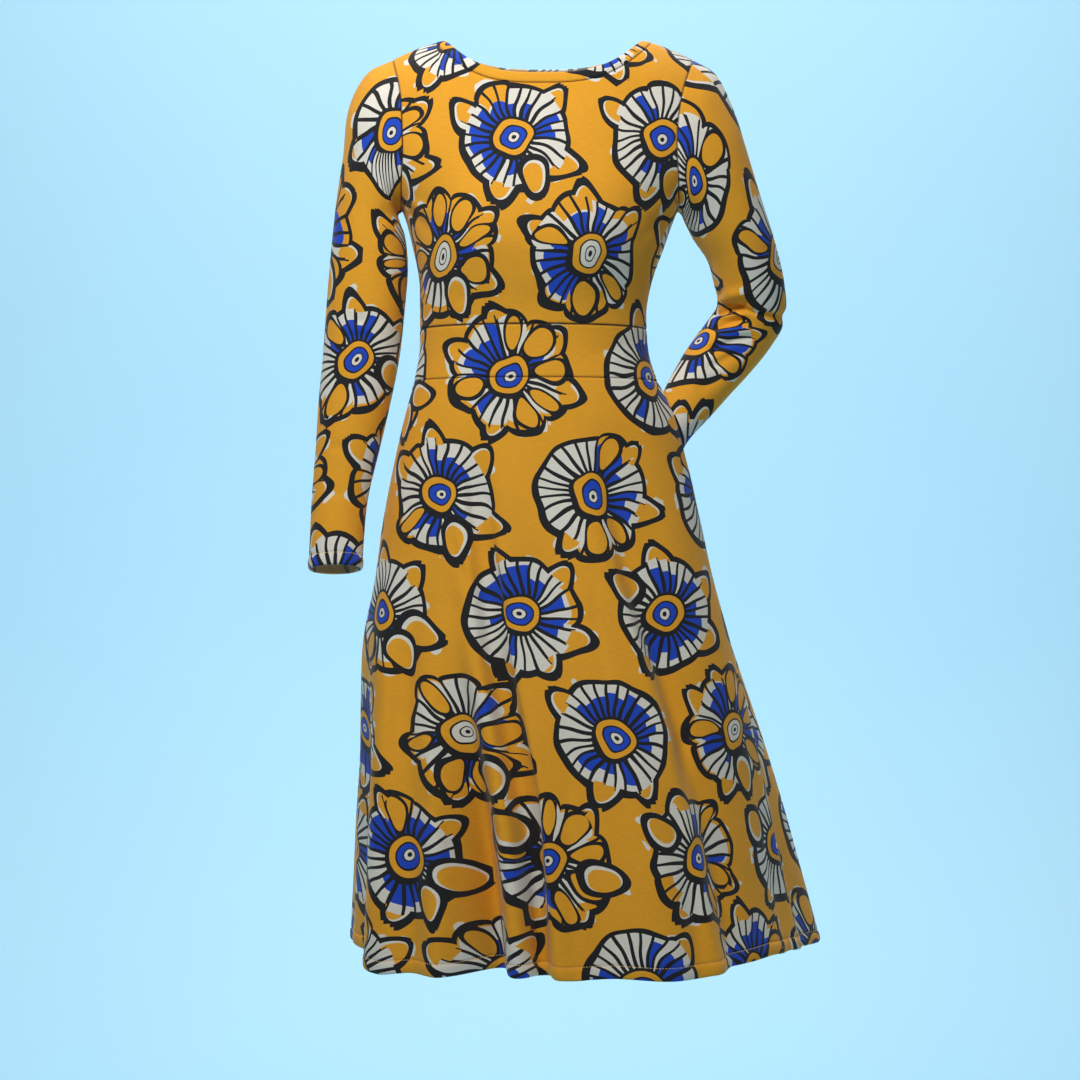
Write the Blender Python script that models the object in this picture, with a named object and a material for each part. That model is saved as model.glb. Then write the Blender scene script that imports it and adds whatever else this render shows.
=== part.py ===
"""A long-sleeved fit-and-flare dress in printed cloth, hollow as it is worn.

The frame: metres, +Z up, the front of the dress faces -Y, the wearer's left is +X.
The origin is between the two shoulder seams, where the shoulders carry the dress.
Every piece is a wall of cloth between its seams, and the pieces are named as a maker cuts them.
"""

import math
from collections import namedtuple

import bpy
from mathutils import Vector

# Cloth
WALL = 0.0015
BAG_WALL = 0.0010
NECKBAND_WALL = 0.0020
HEM_WALL = 0.0026
SEAM_GAP = 0.0003
CREASE_LIMIT = 0.15

# Levels, measured down from the shoulder line
WAIST_SEAM_Z = -0.336
SKIRT_SEAM_Z = -0.398
ARMPIT_Z = -0.194
HEM_SIDE_Z = -1.070
HEM_FRONT_DIP = 0.013
HEM_BACK_DIP = 0.016
HEM_TURN = 0.015

# Neck and shoulders
NECK_HALF_WIDTH = 0.118
NECK_POINT_Z = 0.010
FRONT_NECK_Z = -0.039
BACK_NECK_Z = -0.012
NECK_CURVE = 3.1
NECK_STEP_BEND = 0.75
NECKBAND_WIDTH = 0.012
SHOULDER_HALF_WIDTH = 0.180
SHOULDER_DROP = 0.0225
SHOULDER_BEND = 1.4
SHOULDER_ROUNDING = 0.062
SHOULDER_POINT_Z = NECK_POINT_Z - SHOULDER_DROP

# Pocket in the wearer's left side seam
MOUTH_TOP_Z = -0.401
MOUTH_BOTTOM_Z = -0.552
MOUTH_FRONT_DEG = 12.0
MOUTH_BACK_DEG = 29.0
MOUTH_SKEW = 0.70
MOUTH_LIP_OUT = 0.004
MOUTH_REACH = 4

# How many steps each piece has
SIDE_SEAM_STEPS = 6
ARMHOLE_STEPS = 9
SHOULDER_STEPS = 3
NECK_STEPS = 10
WAISTBAND_ROWS = 2
WAISTBAND_COLUMNS = 36
SKIRT_COLUMNS = 44
SKIRT_ROWS_BELOW_MOUTH = 7
MOUTH_ROWS = 7
MOUTH_ROW_GROWTH = 1.5
SLEEVE_RINGS = 20
BAG_RINGS = 7

TORSO_POWER = 2.1
FRONT, BACK = -1, 1

# Level sections of the body of the dress: centre line, half width, depth in front and behind
Section = namedtuple("Section", "z centre_x half_width front back")
SECTIONS = [
    Section(0.030, 0.004, 0.206, 0.046, 0.056),
    Section(0.000, 0.004, 0.212, 0.056, 0.066),
    Section(-0.050, 0.002, 0.216, 0.073, 0.083),
    Section(-0.100, 0.000, 0.210, 0.090, 0.095),
    Section(-0.150, 0.000, 0.191, 0.105, 0.100),
    Section(-0.194, 0.000, 0.165, 0.114, 0.099),
    Section(-0.240, -0.002, 0.150, 0.116, 0.093),
    Section(-0.276, -0.005, 0.140, 0.110, 0.087),
    Section(-0.310, -0.008, 0.136, 0.102, 0.083),
    Section(-0.336, -0.008, 0.136, 0.098, 0.083),
    Section(-0.367, -0.007, 0.138, 0.097, 0.087),
    Section(-0.398, -0.005, 0.146, 0.099, 0.096),
    Section(-0.444, -0.001, 0.162, 0.104, 0.112),
    Section(-0.492, 0.000, 0.174, 0.108, 0.124),
    Section(-0.564, 0.002, 0.190, 0.116, 0.136),
    Section(-0.636, 0.005, 0.203, 0.126, 0.147),
    Section(-0.708, 0.009, 0.221, 0.138, 0.158),
    Section(-0.780, 0.019, 0.234, 0.151, 0.170),
    Section(-0.852, 0.029, 0.245, 0.164, 0.183),
    Section(-0.924, 0.037, 0.256, 0.177, 0.196),
    Section(-0.996, 0.045, 0.266, 0.190, 0.209),
    Section(-1.068, 0.053, 0.277, 0.203, 0.222),
    Section(-1.140, 0.061, 0.287, 0.215, 0.234),
]

# Half width of the bodice at the armhole seam, from the armpit up to the shoulder point
ArmholeLevel = namedtuple("ArmholeLevel", "z half_width")
ARMHOLE = [
    ArmholeLevel(-0.194, 0.165),
    ArmholeLevel(-0.165, 0.1638),
    ArmholeLevel(-0.120, 0.162),
    ArmholeLevel(-0.060, 0.167),
    ArmholeLevel(SHOULDER_POINT_Z, SHOULDER_HALF_WIDTH),
]

# Soft fullness of the bust, on each side of the front
BUST_X, BUST_Z = 0.078, -0.232
BUST_SPREAD_X, BUST_SPREAD_Z = 0.055, 0.060
BUST_OUT = 0.011

# Folds of the skirt, once round from the wearer's right side by the front: a ridge stands out
# and a crease lies in. Angles are from the front centre, at the waist and at the hem.
# `drop` is how far the hem hangs below its level there.
Fold = namedtuple("Fold", "waist_deg hem_deg out start drop")
FOLDS = [
    Fold(-90, -90, 0.000, 0.30, 0.000),
    Fold(-79, -73, -0.014, 0.35, 0.002),
    Fold(-66, -51, 0.036, 0.28, 0.007),
    Fold(-59, -42, 0.016, 0.40, 0.002),
    Fold(-52, -35, 0.028, 0.40, 0.001),
    Fold(-42, -24, -0.054, 0.42, -0.003),
    Fold(-37, -16, 0.010, 0.12, -0.003),
    Fold(-32, -11, -0.022, 0.03, -0.003),
    Fold(-25, -6, 0.010, 0.10, -0.002),
    Fold(-10, 5, 0.000, 0.20, -0.003),
    Fold(8, 19, 0.022, 0.18, -0.001),
    Fold(16, 30, 0.008, 0.10, -0.001),
    Fold(22, 42, -0.034, 0.05, 0.000),
    Fold(44, 60, -0.036, 0.30, 0.000),
    Fold(62, 76, -0.034, 0.35, 0.004),
    Fold(90, 92, -0.018, 0.35, 0.007),
    Fold(108, 111, 0.028, 0.25, 0.008),
    Fold(124, 126, -0.024, 0.20, 0.003),
    Fold(138, 141, 0.018, 0.16, 0.004),
    Fold(152, 155, -0.022, 0.08, -0.003),
    Fold(164, 168, 0.020, 0.10, 0.003),
    Fold(177, 180, -0.012, 0.06, -0.002),
    Fold(190, 192, 0.016, 0.12, 0.002),
    Fold(204, 206, -0.030, 0.14, -0.004),
    Fold(218, 221, 0.022, 0.18, 0.003),
    Fold(234, 238, -0.020, 0.26, -0.002),
    Fold(252, 254, 0.014, 0.34, 0.002),
]

# Sleeves: where the outer and the inner outline stand at each ring, as seen from the front,
# with the ring's middle in depth and its half depth
Ring = namedtuple("Ring", "along out_x out_z in_x in_z mid_y half_depth")
RIGHT_SLEEVE = [
    Ring(0.00, -0.176, -0.0136, -0.164, -0.194, 0.000, 0.052),
    Ring(0.05, -0.207, -0.030, -0.1685, -0.1965, 0.000, 0.053),
    Ring(0.11, -0.229, -0.071, -0.1695, -0.200, 0.000, 0.053),
    Ring(0.18, -0.236, -0.128, -0.1675, -0.207, 0.000, 0.052),
    Ring(0.27, -0.244, -0.180, -0.1615, -0.226, 0.000, 0.050),
    Ring(0.36, -0.251, -0.246, -0.1585, -0.262, 0.000, 0.048),
    Ring(0.46, -0.256, -0.306, -0.1620, -0.310, -0.001, 0.046),
    Ring(0.56, -0.260, -0.366, -0.1680, -0.366, -0.003, 0.044),
    Ring(0.66, -0.265, -0.425, -0.1785, -0.422, -0.009, 0.041),
    Ring(0.76, -0.268, -0.484, -0.1915, -0.480, -0.018, 0.037),
    Ring(0.86, -0.2715, -0.542, -0.2045, -0.538, -0.029, 0.033),
    Ring(0.95, -0.273, -0.594, -0.2090, -0.592, -0.040, 0.031),
    Ring(1.00, -0.274, -0.622, -0.2100, -0.621, -0.046, 0.031),
]
LEFT_SLEEVE = [
    Ring(0.00, 0.180, -0.0136, 0.165, -0.194, 0.000, 0.052),
    Ring(0.05, 0.208, -0.031, 0.1685, -0.196, 0.002, 0.053),
    Ring(0.11, 0.229, -0.071, 0.1725, -0.201, 0.005, 0.053),
    Ring(0.17, 0.244, -0.112, 0.177, -0.210, 0.010, 0.052),
    Ring(0.24, 0.264, -0.170, 0.187, -0.228, 0.019, 0.049),
    Ring(0.32, 0.283, -0.222, 0.203, -0.250, 0.032, 0.047),
    Ring(0.40, 0.297, -0.272, 0.2115, -0.276, 0.047, 0.045),
    Ring(0.48, 0.300, -0.318, 0.2165, -0.300, 0.060, 0.043),
    Ring(0.55, 0.282, -0.352, 0.204, -0.321, 0.060, 0.040),
    Ring(0.63, 0.256, -0.384, 0.183, -0.349, 0.047, 0.037),
    Ring(0.71, 0.231, -0.411, 0.166, -0.376, 0.033, 0.033),
    Ring(0.79, 0.205, -0.440, 0.149, -0.408, 0.020, 0.029),
    Ring(0.87, 0.177, -0.471, 0.130, -0.445, 0.010, 0.027),
    Ring(0.94, 0.160, -0.508, 0.110, -0.486, 0.004, 0.027),
    Ring(1.00, 0.147, -0.543, 0.094, -0.522, 0.000, 0.027),
]
POCKET_BAG = [
    Ring(0.00, 0.190, -0.552, 0.145, -0.401, 0.012, 0.040),
    Ring(0.12, 0.186, -0.560, 0.134, -0.406, 0.010, 0.042),
    Ring(0.30, 0.178, -0.580, 0.104, -0.440, 0.006, 0.042),
    Ring(0.50, 0.166, -0.606, 0.074, -0.506, 0.002, 0.042),
    Ring(0.70, 0.150, -0.632, 0.058, -0.574, 0.000, 0.034),
    Ring(0.86, 0.134, -0.648, 0.060, -0.622, 0.000, 0.022),
    Ring(1.00, 0.120, -0.662, 0.066, -0.650, 0.000, 0.000),
]


def blend_along(rows, key, column, at):
    """A smooth curve through one column of a table, read where its key column is `at`."""
    keys = [getattr(row, key) for row in rows]
    values = [getattr(row, column) for row in rows]
    if keys[0] > keys[-1]:
        keys, values = keys[::-1], values[::-1]
    at = min(max(at, keys[0]), keys[-1])
    span = next(i for i in range(len(keys) - 1) if at <= keys[i + 1])

    def slope(i):
        low, high = max(i - 1, 0), min(i + 1, len(keys) - 1)
        return (values[high] - values[low]) / (keys[high] - keys[low])

    width = keys[span + 1] - keys[span]
    t = (at - keys[span]) / width
    return (
        values[span] * (1 + 2 * t) * (1 - t) ** 2
        + slope(span) * width * t * (1 - t) ** 2
        + values[span + 1] * t * t * (3 - 2 * t)
        + slope(span + 1) * width * t * t * (t - 1)
    )


def section(column, z):
    return blend_along(SECTIONS, "z", column, z)


def ease(t):
    t = min(max(t, 0.0), 1.0)
    return t * t * (3 - 2 * t)


def shoulder_line_z(x):
    """Height of the shoulder seam, and of its straight run on across the neck opening."""
    out = (abs(x) - NECK_HALF_WIDTH) / (SHOULDER_HALF_WIDTH - NECK_HALF_WIDTH)
    return NECK_POINT_Z - SHOULDER_DROP * (out**SHOULDER_BEND if out > 0 else out)


def body_point(side, across, z):
    """A point of the bodice or waistband. `across` runs from -1 at the right side seam to 1 at the left one."""
    lateral = section("half_width", z) * across
    depth = section("front" if side == FRONT else "back", z)
    if side == FRONT:
        for bust_x in (-BUST_X, BUST_X):
            reach = ((lateral - bust_x) / BUST_SPREAD_X) ** 2 + ((z - BUST_Z) / BUST_SPREAD_Z) ** 2
            depth += BUST_OUT * math.exp(-reach)
    roundness = max(1 - abs(across) ** TORSO_POWER, 0.0) ** (1 / TORSO_POWER)
    below_shoulder = (shoulder_line_z(lateral) - z) / SHOULDER_ROUNDING
    below_shoulder = min(max(below_shoulder, 0.0), 1.0)
    shoulder = math.sqrt(1 - (1 - below_shoulder) ** 2)
    return Vector((section("centre_x", z) + lateral, side * depth * roundness * shoulder, z))


def ring_angle(angle):
    """Where a ray at this angle from the front centre meets the unit section: across, and in depth."""
    s, c = math.sin(angle), math.cos(angle)
    reach = (abs(s) ** TORSO_POWER + abs(c) ** TORSO_POWER) ** (-1 / TORSO_POWER)
    return reach * s, reach * c


def neck_edge(side, turn):
    """The finished neck edge, as half width and height. `turn` is -1 and 1 at the shoulder seams."""
    swing = math.sin(turn * math.pi / 2)
    low = FRONT_NECK_Z if side == FRONT else BACK_NECK_Z
    return NECK_HALF_WIDTH * swing, low + (NECK_POINT_Z - low) * abs(swing) ** NECK_CURVE


def neck_turns():
    """Evenly walked steps along the neck from the right shoulder to the left."""
    steps = [i / NECK_STEPS - 1 for i in range(2 * NECK_STEPS + 1)]
    return [math.copysign(1 - (1 - abs(t)) ** NECK_STEP_BEND, t) for t in steps]


def neck_seam(side, turn):
    """Where the neckband meets the bodice: the neck edge moved out by the band's width."""
    x, z = neck_edge(side, turn)
    end_drop = NECK_POINT_Z - shoulder_line_z(NECK_HALF_WIDTH + NECKBAND_WIDTH)
    share = abs(math.sin(turn * math.pi / 2)) ** 1.5
    direction = (math.pi / 2) * (1 - share) + math.atan2(end_drop, NECKBAND_WIDTH) * share
    width = NECKBAND_WIDTH * (1 - share) + math.hypot(end_drop, NECKBAND_WIDTH) * share
    return x + math.copysign(width * math.cos(direction), turn), z - width * math.sin(direction)


def on_body(side, x, z):
    return body_point(side, x / section("half_width", z), z)


def armhole_point(step):
    """Half width and height of the armhole seam, counted from the armpit up to the shoulder point."""
    z = ARMPIT_Z + (SHOULDER_POINT_Z - ARMPIT_Z) * (1 - math.cos(math.pi * step / ARMHOLE_STEPS)) / 2
    return blend_along(ARMHOLE, "z", "half_width", z), z


def angle_of(across):
    """The ring angle whose point lies at this share of the half width."""
    forward = max(1 - abs(across) ** TORSO_POWER, 0.0) ** (1 / TORSO_POWER)
    return math.atan2(across, forward)


def flat_from_shoulder(below):
    """Distance down the cloth from the shoulder seam, over the round of the shoulder and on."""
    below = max(below, 0.0)
    if below < SHOULDER_ROUNDING:
        return SHOULDER_ROUNDING * math.acos(1 - below / SHOULDER_ROUNDING)
    return SHOULDER_ROUNDING * (math.pi / 2 - 1) + below


def below_shoulder(flat):
    if flat < SHOULDER_ROUNDING * math.pi / 2:
        return SHOULDER_ROUNDING * (1 - math.cos(flat / SHOULDER_ROUNDING))
    return flat - SHOULDER_ROUNDING * (math.pi / 2 - 1)


def flat_place(across, z):
    """Where a point of the body lies when the cloth is laid flat: round from the centre, and down."""
    line = shoulder_line_z(SHOULDER_HALF_WIDTH * across)
    return SHOULDER_HALF_WIDTH * angle_of(across), flat_from_shoulder(line - z)


def body_from_flat(side, place):
    across = ring_angle(place[0] / SHOULDER_HALF_WIDTH)[0]
    return body_point(side, across, shoulder_line_z(SHOULDER_HALF_WIDTH * across) - below_shoulder(place[1]))


def bodice_side():
    """The panel's side edge from the waist seam up: the side seam, then the armhole."""
    edge = []
    for i in range(SIDE_SEAM_STEPS):
        z = WAIST_SEAM_Z + (ARMPIT_Z - WAIST_SEAM_Z) * i / SIDE_SEAM_STEPS
        edge.append((section("half_width", z), z))
    return edge + [armhole_point(step) for step in range(ARMHOLE_STEPS + 1)]


def bodice_top(side):
    """The panel's top edge from the right shoulder point to the left: shoulder, neck, shoulder."""
    right = []
    neck_x, neck_z = neck_seam(side, -1)
    for i in range(SHOULDER_STEPS):
        x = SHOULDER_HALF_WIDTH + (-neck_x - SHOULDER_HALF_WIDTH) * i / SHOULDER_STEPS
        right.append((-x, shoulder_line_z(x)))
    neck = [neck_seam(side, turn) for turn in neck_turns()]
    return right + neck + [(-x, z) for x, z in reversed(right)]


def bodice_panel(side):
    """Rows of points from the waist seam up, filled in between the four edges of the flat cloth."""
    edge, top = bodice_side(), bodice_top(side)
    rows, columns = len(edge) - 1, len(top) - 1
    foot = [(section("half_width", WAIST_SEAM_Z) * ring_angle(math.pi * (c / columns - 0.5))[0], WAIST_SEAM_Z)
            for c in range(columns + 1)]

    def flat(x, z):
        return Vector(flat_place(x / section("half_width", z), z))

    left = [flat(-x, z) for x, z in edge]
    right = [flat(x, z) for x, z in edge]
    bottom = [flat(x, z) for x, z in foot]
    head = [flat(x, z) for x, z in top]
    panel = []
    for r in range(rows + 1):
        up = (left[0].y - left[r].y) / (left[0].y - left[-1].y)
        row = []
        for c in range(columns + 1):
            across = c / columns
            sides = left[r] * (1 - across) + right[r] * across
            ends = bottom[c] * (1 - up) + head[c] * up
            corners = (left[0] * (1 - across) + right[0] * across) * (1 - up)
            corners += (left[-1] * (1 - across) + right[-1] * across) * up
            row.append(body_from_flat(side, sides + ends - corners))
        row[0], row[-1] = on_body(side, -edge[r][0], edge[r][1]), on_body(side, *edge[r])
        panel.append(row)
    panel[0] = [on_body(side, x, z) for x, z in foot]
    panel[-1] = [on_body(side, x, z) for x, z in top]
    return panel


def waistband_panel(side):
    rows = []
    for r in range(WAISTBAND_ROWS + 1):
        z = SKIRT_SEAM_Z + (WAIST_SEAM_Z - SKIRT_SEAM_Z) * r / WAISTBAND_ROWS
        steps = [math.pi * (c / WAISTBAND_COLUMNS - 0.5) for c in range(WAISTBAND_COLUMNS + 1)]
        rows.append([body_point(side, ring_angle(angle)[0], z) for angle in steps])
    return rows


def neckband_ring():
    """The band's seam edge and its free edge, once round the neck from the left shoulder by the front."""
    turns = [(FRONT, turn) for turn in reversed(neck_turns()[1:])]
    turns += [(BACK, turn) for turn in neck_turns()[:-1]]
    seam = [on_body(side, *neck_seam(side, turn)) for side, turn in turns]
    middle, free = [], []
    for side, turn in turns:
        edge = neck_edge(side, turn)
        start = neck_seam(side, turn)
        free.append(on_body(side, *edge))
        middle.append(on_body(side, (edge[0] + start[0]) / 2, (edge[1] + start[1]) / 2))
    return [seam, middle, free]


def fold_at(angle_deg, down):
    """How far the folds carry the skirt out and its hem down, at this share of its length."""
    placed = []
    for fold in FOLDS:
        strength = ease((down - fold.start) / (1 - fold.start)) ** 0.8
        angle = fold.hem_deg + (fold.waist_deg - fold.hem_deg) * (1 - down) ** 2
        placed.append((angle, fold.out * strength, fold.drop * down * down))
    first, last = placed[0], placed[-1]
    placed = [(last[0] - 360, *last[1:])] + placed + [(first[0] + 360, *first[1:])]
    for left, right in zip(placed, placed[1:]):
        if left[0] <= angle_deg <= right[0]:
            share = ease((angle_deg - left[0]) / (right[0] - left[0]))
            return left[1] + (right[1] - left[1]) * share, left[2] + (right[2] - left[2]) * share
    return 0.0, 0.0


def skirt_outward(angle, z):
    """The level direction that faces out of the plain section at this angle."""
    across, forward = ring_angle(angle)
    depth = section("front" if forward > 0 else "back", z)
    return Vector((across / section("half_width", z), -forward / depth, 0)).normalized()


def skirt_point(angle, down, extra=0.0):
    """A point of the skirt. `angle` is from the front centre towards the wearer's left; `down` is 0 to 1."""
    across, forward = ring_angle(angle)
    dip = HEM_FRONT_DIP if forward > 0 else HEM_BACK_DIP
    out, drop = fold_at((math.degrees(angle) + 90) % 360 - 90, down)
    z = SKIRT_SEAM_Z + (HEM_SIDE_Z - dip * forward * forward - SKIRT_SEAM_Z) * down - drop
    depth = section("front" if forward > 0 else "back", z)
    plain = Vector((section("centre_x", z) + section("half_width", z) * across, -depth * forward, z))
    return plain + skirt_outward(angle, z) * (out + extra)


def skirt_row_shares():
    """How far down the skirt each row of points lies, at the side seam: close by the pocket, and at the hem's turn."""
    length = SKIRT_SEAM_Z - HEM_SIDE_Z
    mouth = MOUTH_TOP_Z - MOUTH_BOTTOM_Z
    levels = [SKIRT_SEAM_Z]
    levels += [MOUTH_TOP_Z - mouth * (i / MOUTH_ROWS) ** MOUTH_ROW_GROWTH for i in range(MOUTH_ROWS + 1)]
    turn_z = HEM_SIDE_Z + HEM_TURN
    steps = SKIRT_ROWS_BELOW_MOUTH
    levels += [MOUTH_BOTTOM_Z + (turn_z - MOUTH_BOTTOM_Z) * i / steps for i in range(1, steps + 1)]
    levels += [HEM_SIDE_Z]
    return [(SKIRT_SEAM_Z - z) / length for z in levels]


def mouth_share(down):
    """How open the pocket's mouth is at this share of the skirt's length, from 0 to 1."""
    z = SKIRT_SEAM_Z + (HEM_SIDE_Z - SKIRT_SEAM_Z) * down
    t = (MOUTH_TOP_Z - z) / (MOUTH_TOP_Z - MOUTH_BOTTOM_Z)
    if not 1e-6 < t < 1 - 1e-6:
        return 0.0
    return math.sin(math.pi * t**MOUTH_SKEW)


def skirt_angles(side, down):
    """The angle of each column. Near the pocket the columns draw back from its mouth."""
    steps = [i / SKIRT_COLUMNS for i in range(SKIRT_COLUMNS + 1)]
    open_now = mouth_share(down)
    if side == FRONT:
        pulled = math.radians(MOUTH_FRONT_DEG) * open_now
        return [-math.pi / 2 + math.pi * t - pulled * t**MOUTH_REACH for t in steps]
    pulled = math.radians(MOUTH_BACK_DEG) * open_now
    return [math.pi / 2 + math.pi * t + pulled * (1 - t) ** MOUTH_REACH for t in steps]


def skirt_panel(side):
    rows = []
    for down in skirt_row_shares():
        row = []
        for i, angle in enumerate(skirt_angles(side, down)):
            lip = MOUTH_LIP_OUT * mouth_share(down) * (i / SKIRT_COLUMNS) ** 12 if side == FRONT else 0.0
            row.append(skirt_point(angle, down, lip))
        rows.append(row)
    return rows[::-1]


def loft_point(table, along, turn):
    """A point of a tube. `turn` is 0 on the outer outline, a quarter in front and a half on the inner outline."""

    def axis(at):
        read = {name: blend_along(table, "along", name, at) for name in Ring._fields[1:]}
        outer = Vector((read["out_x"], read["mid_y"], read["out_z"]))
        inner = Vector((read["in_x"], read["mid_y"], read["in_z"]))
        return outer, inner, read["half_depth"]

    outer, inner, half_depth = axis(along)
    ahead, behind = axis(min(along + 0.02, 1.0)), axis(max(along - 0.02, 0.0))
    run = (ahead[0] + ahead[1]) - (behind[0] + behind[1])
    across = (outer - inner) / 2
    forward = run.cross(across).normalized()
    if forward.y > 0:
        forward = -forward
    angle = turn * 2 * math.pi
    return (outer + inner) / 2 + across * math.cos(angle) + forward * half_depth * math.sin(angle)


def tube(table, first_ring, turns, rings, fade):
    """Rings of a tube whose first ring is the given points and whose form eases into the table's."""
    rows = []
    for r in range(rings + 1):
        along = r / rings
        if r == rings - 1 and table is not POCKET_BAG:
            along = 1 - HEM_TURN / 0.60
        keep = (1 - ease(along / fade)) if along < fade else 0.0
        row = []
        for start, turn in zip(first_ring, turns):
            miss = start - loft_point(table, 0.0, turn)
            row.append(loft_point(table, along, turn) + miss * keep)
        rows.append(row)
    return rows


def armhole_ring(hand):
    """The armhole's points from the shoulder by the front to the armpit and up the back."""
    steps = range(ARMHOLE_STEPS + 1)
    heights = [armhole_point(step) for step in steps]
    down_front = [on_body(FRONT, hand * x, z) for x, z in reversed(heights)]
    up_back = [on_body(BACK, hand * x, z) for x, z in heights[1:-1]]
    return down_front + up_back


def mouth_ring():
    """The pocket mouth's points from its bottom up the front edge to its top, and down the back edge."""
    shares = skirt_row_shares()[1 : MOUTH_ROWS + 2]
    depth_in = WALL + SEAM_GAP

    def behind(side, down):
        angle = skirt_angles(side, down)[-1 if side == FRONT else 0]
        lip = MOUTH_LIP_OUT * mouth_share(down) if side == FRONT else 0.0
        point = skirt_point(angle, down, lip)
        return point - skirt_outward(angle, point.z) * depth_in

    up_front = [behind(FRONT, down) for down in reversed(shares)]
    down_back = [behind(BACK, down) for down in shares[1:-1]]
    return up_front + down_back


def all_panels():
    """Every piece's rows of points, whether it closes on itself, its wall and which of its ends are seams."""
    panels = {}

    def add(name, rows, closed=False, wall=WALL, seams="", turned=False, colour=(0.8, 0.42, 0.06)):
        panels[name] = dict(rows=rows, closed=closed, wall=wall, seams=seams, turned=turned, colour=colour)

    add("bodice_front", bodice_panel(FRONT), seams="all")
    add("bodice_back", bodice_panel(BACK), seams="all")
    add("neckband", neckband_ring(), closed=True, wall=NECKBAND_WALL, seams="first")
    add("waistband_front", waistband_panel(FRONT), seams="all")
    add("waistband_back", waistband_panel(BACK), seams="all")
    add("skirt_front", skirt_panel(FRONT), seams="sides last", turned="first")
    add("skirt_back", skirt_panel(BACK), seams="sides last", turned="first")
    turns = [i / (2 * ARMHOLE_STEPS) for i in range(2 * ARMHOLE_STEPS)]
    for name, table, hand in (("sleeve_right", RIGHT_SLEEVE, -1), ("sleeve_left", LEFT_SLEEVE, 1)):
        rings = tube(table, armhole_ring(hand), turns, SLEEVE_RINGS, 0.30)
        add(name, rings, closed=True, seams="first", turned="last")
    ring = mouth_ring()
    bag_turns = [i / len(ring) for i in range(len(ring))]
    bag = tube(POCKET_BAG, ring, bag_turns, BAG_RINGS, 0.35)
    half = len(ring) // 2
    add("pocket_bag_front", [row[: half + 1] for row in bag], wall=BAG_WALL, seams="sides last")
    add("pocket_bag_back", [row[half:] + row[:1] for row in bag], wall=BAG_WALL, seams="sides last")
    return panels


def key_of(point):
    return tuple(round(value * 1e5) for value in point)


def face_outwards(panel, name):
    """Turns the rows round where needed, so that the grid's faces point out of the garment."""
    rows = panel["rows"]
    total = 0.0
    for r in range(len(rows) - 1):
        low, high = rows[r], rows[r + 1]
        centre = sum(low + high, Vector()) / (len(low) + len(high))
        if not panel["closed"]:
            centre = Vector((section("centre_x", centre.z), 0, centre.z))
            if name.startswith("pocket"):
                centre = sum((loft_point(POCKET_BAG, r / BAG_RINGS, t / 8) for t in range(8)), Vector()) / 8
        for c in range(len(low) - 1):
            normal = (low[c + 1] - low[c]).cross(high[c] - low[c])
            total += normal.dot(low[c] - centre)
    if total < 0:
        panel["rows"] = [row[::-1] for row in rows]


def add_normals(panel):
    """The outward direction of one piece at each of its points."""
    rows = panel["rows"]
    count = len(rows[0])
    spans = count if panel["closed"] else count - 1
    normals = {}
    for r in range(len(rows) - 1):
        for c in range(spans):
            corners = [rows[r][c], rows[r][(c + 1) % count], rows[r + 1][(c + 1) % count], rows[r + 1][c]]
            normal = (corners[2] - corners[0]).cross(corners[3] - corners[1])
            if normal.length < 1e-12:
                continue
            for corner in corners:
                normals.setdefault(key_of(corner), Vector())
                normals[key_of(corner)] += normal.normalized()
    return {key: value.normalized() for key, value in normals.items()}


def inward_tangents(panel):
    """For each point on a seam, the direction from the seam into the piece."""
    rows = panel["rows"]
    last_row, last_column = len(rows) - 1, len(rows[0]) - 1
    seams = panel["seams"]
    tangents = {}
    for r, row in enumerate(rows):
        for c, point in enumerate(row):
            inner_r, inner_c = r, c
            if r == 0 and ("first" in seams or seams == "all"):
                inner_r = 1
            if r == last_row and ("last" in seams or seams == "all"):
                inner_r = last_row - 1
            if not panel["closed"] and ("sides" in seams or seams == "all"):
                inner_c = min(max(c, 1), last_column - 1)
            if (inner_r, inner_c) != (r, c):
                tangents[(r, c)] = (rows[inner_r][inner_c] - point).normalized()
    return tangents


def seam_places(panels):
    """For each seam point, the pieces that meet there, each with its way in and its outward direction."""
    meetings = {}
    for name, panel in panels.items():
        panel["normals"] = add_normals(panel)
        panel["tangents"] = inward_tangents(panel)
        for (r, c), pull in panel["tangents"].items():
            key = key_of(panel["rows"][r][c])
            meetings.setdefault(key, []).append((name, pull, panel["normals"][key]))
    return meetings


def seam_shift_and_normal(name, pull, own_normal, met):
    """Moves a seam point half a gap into its piece, and mitres the wall where the seam is a ridge."""
    others = [(other_pull, normal) for other, other_pull, normal in met if other != name]
    if not others:
        return pull * SEAM_GAP / 2, own_normal
    away = sum((other_pull for other_pull, _ in others), Vector()) / len(others)
    shift = (pull - away).normalized() * SEAM_GAP * 0.6
    ridges = [normal for other_pull, normal in others if own_normal.dot(other_pull) < CREASE_LIMIT]
    return shift, sum(ridges, own_normal.copy()).normalized()


def wall_edge(points, first, second, skin, flip):
    """Two triangles that close the wall between two neighbouring points, split the same way on both sides of a seam."""
    if key_of(points[first]) > key_of(points[second]):
        triangles = [(first, skin + second, second), (first, skin + first, skin + second)]
    else:
        triangles = [(first, skin + first, second), (second, skin + first, skin + second)]
    return [triangle[::-1] for triangle in triangles] if flip else triangles


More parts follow.
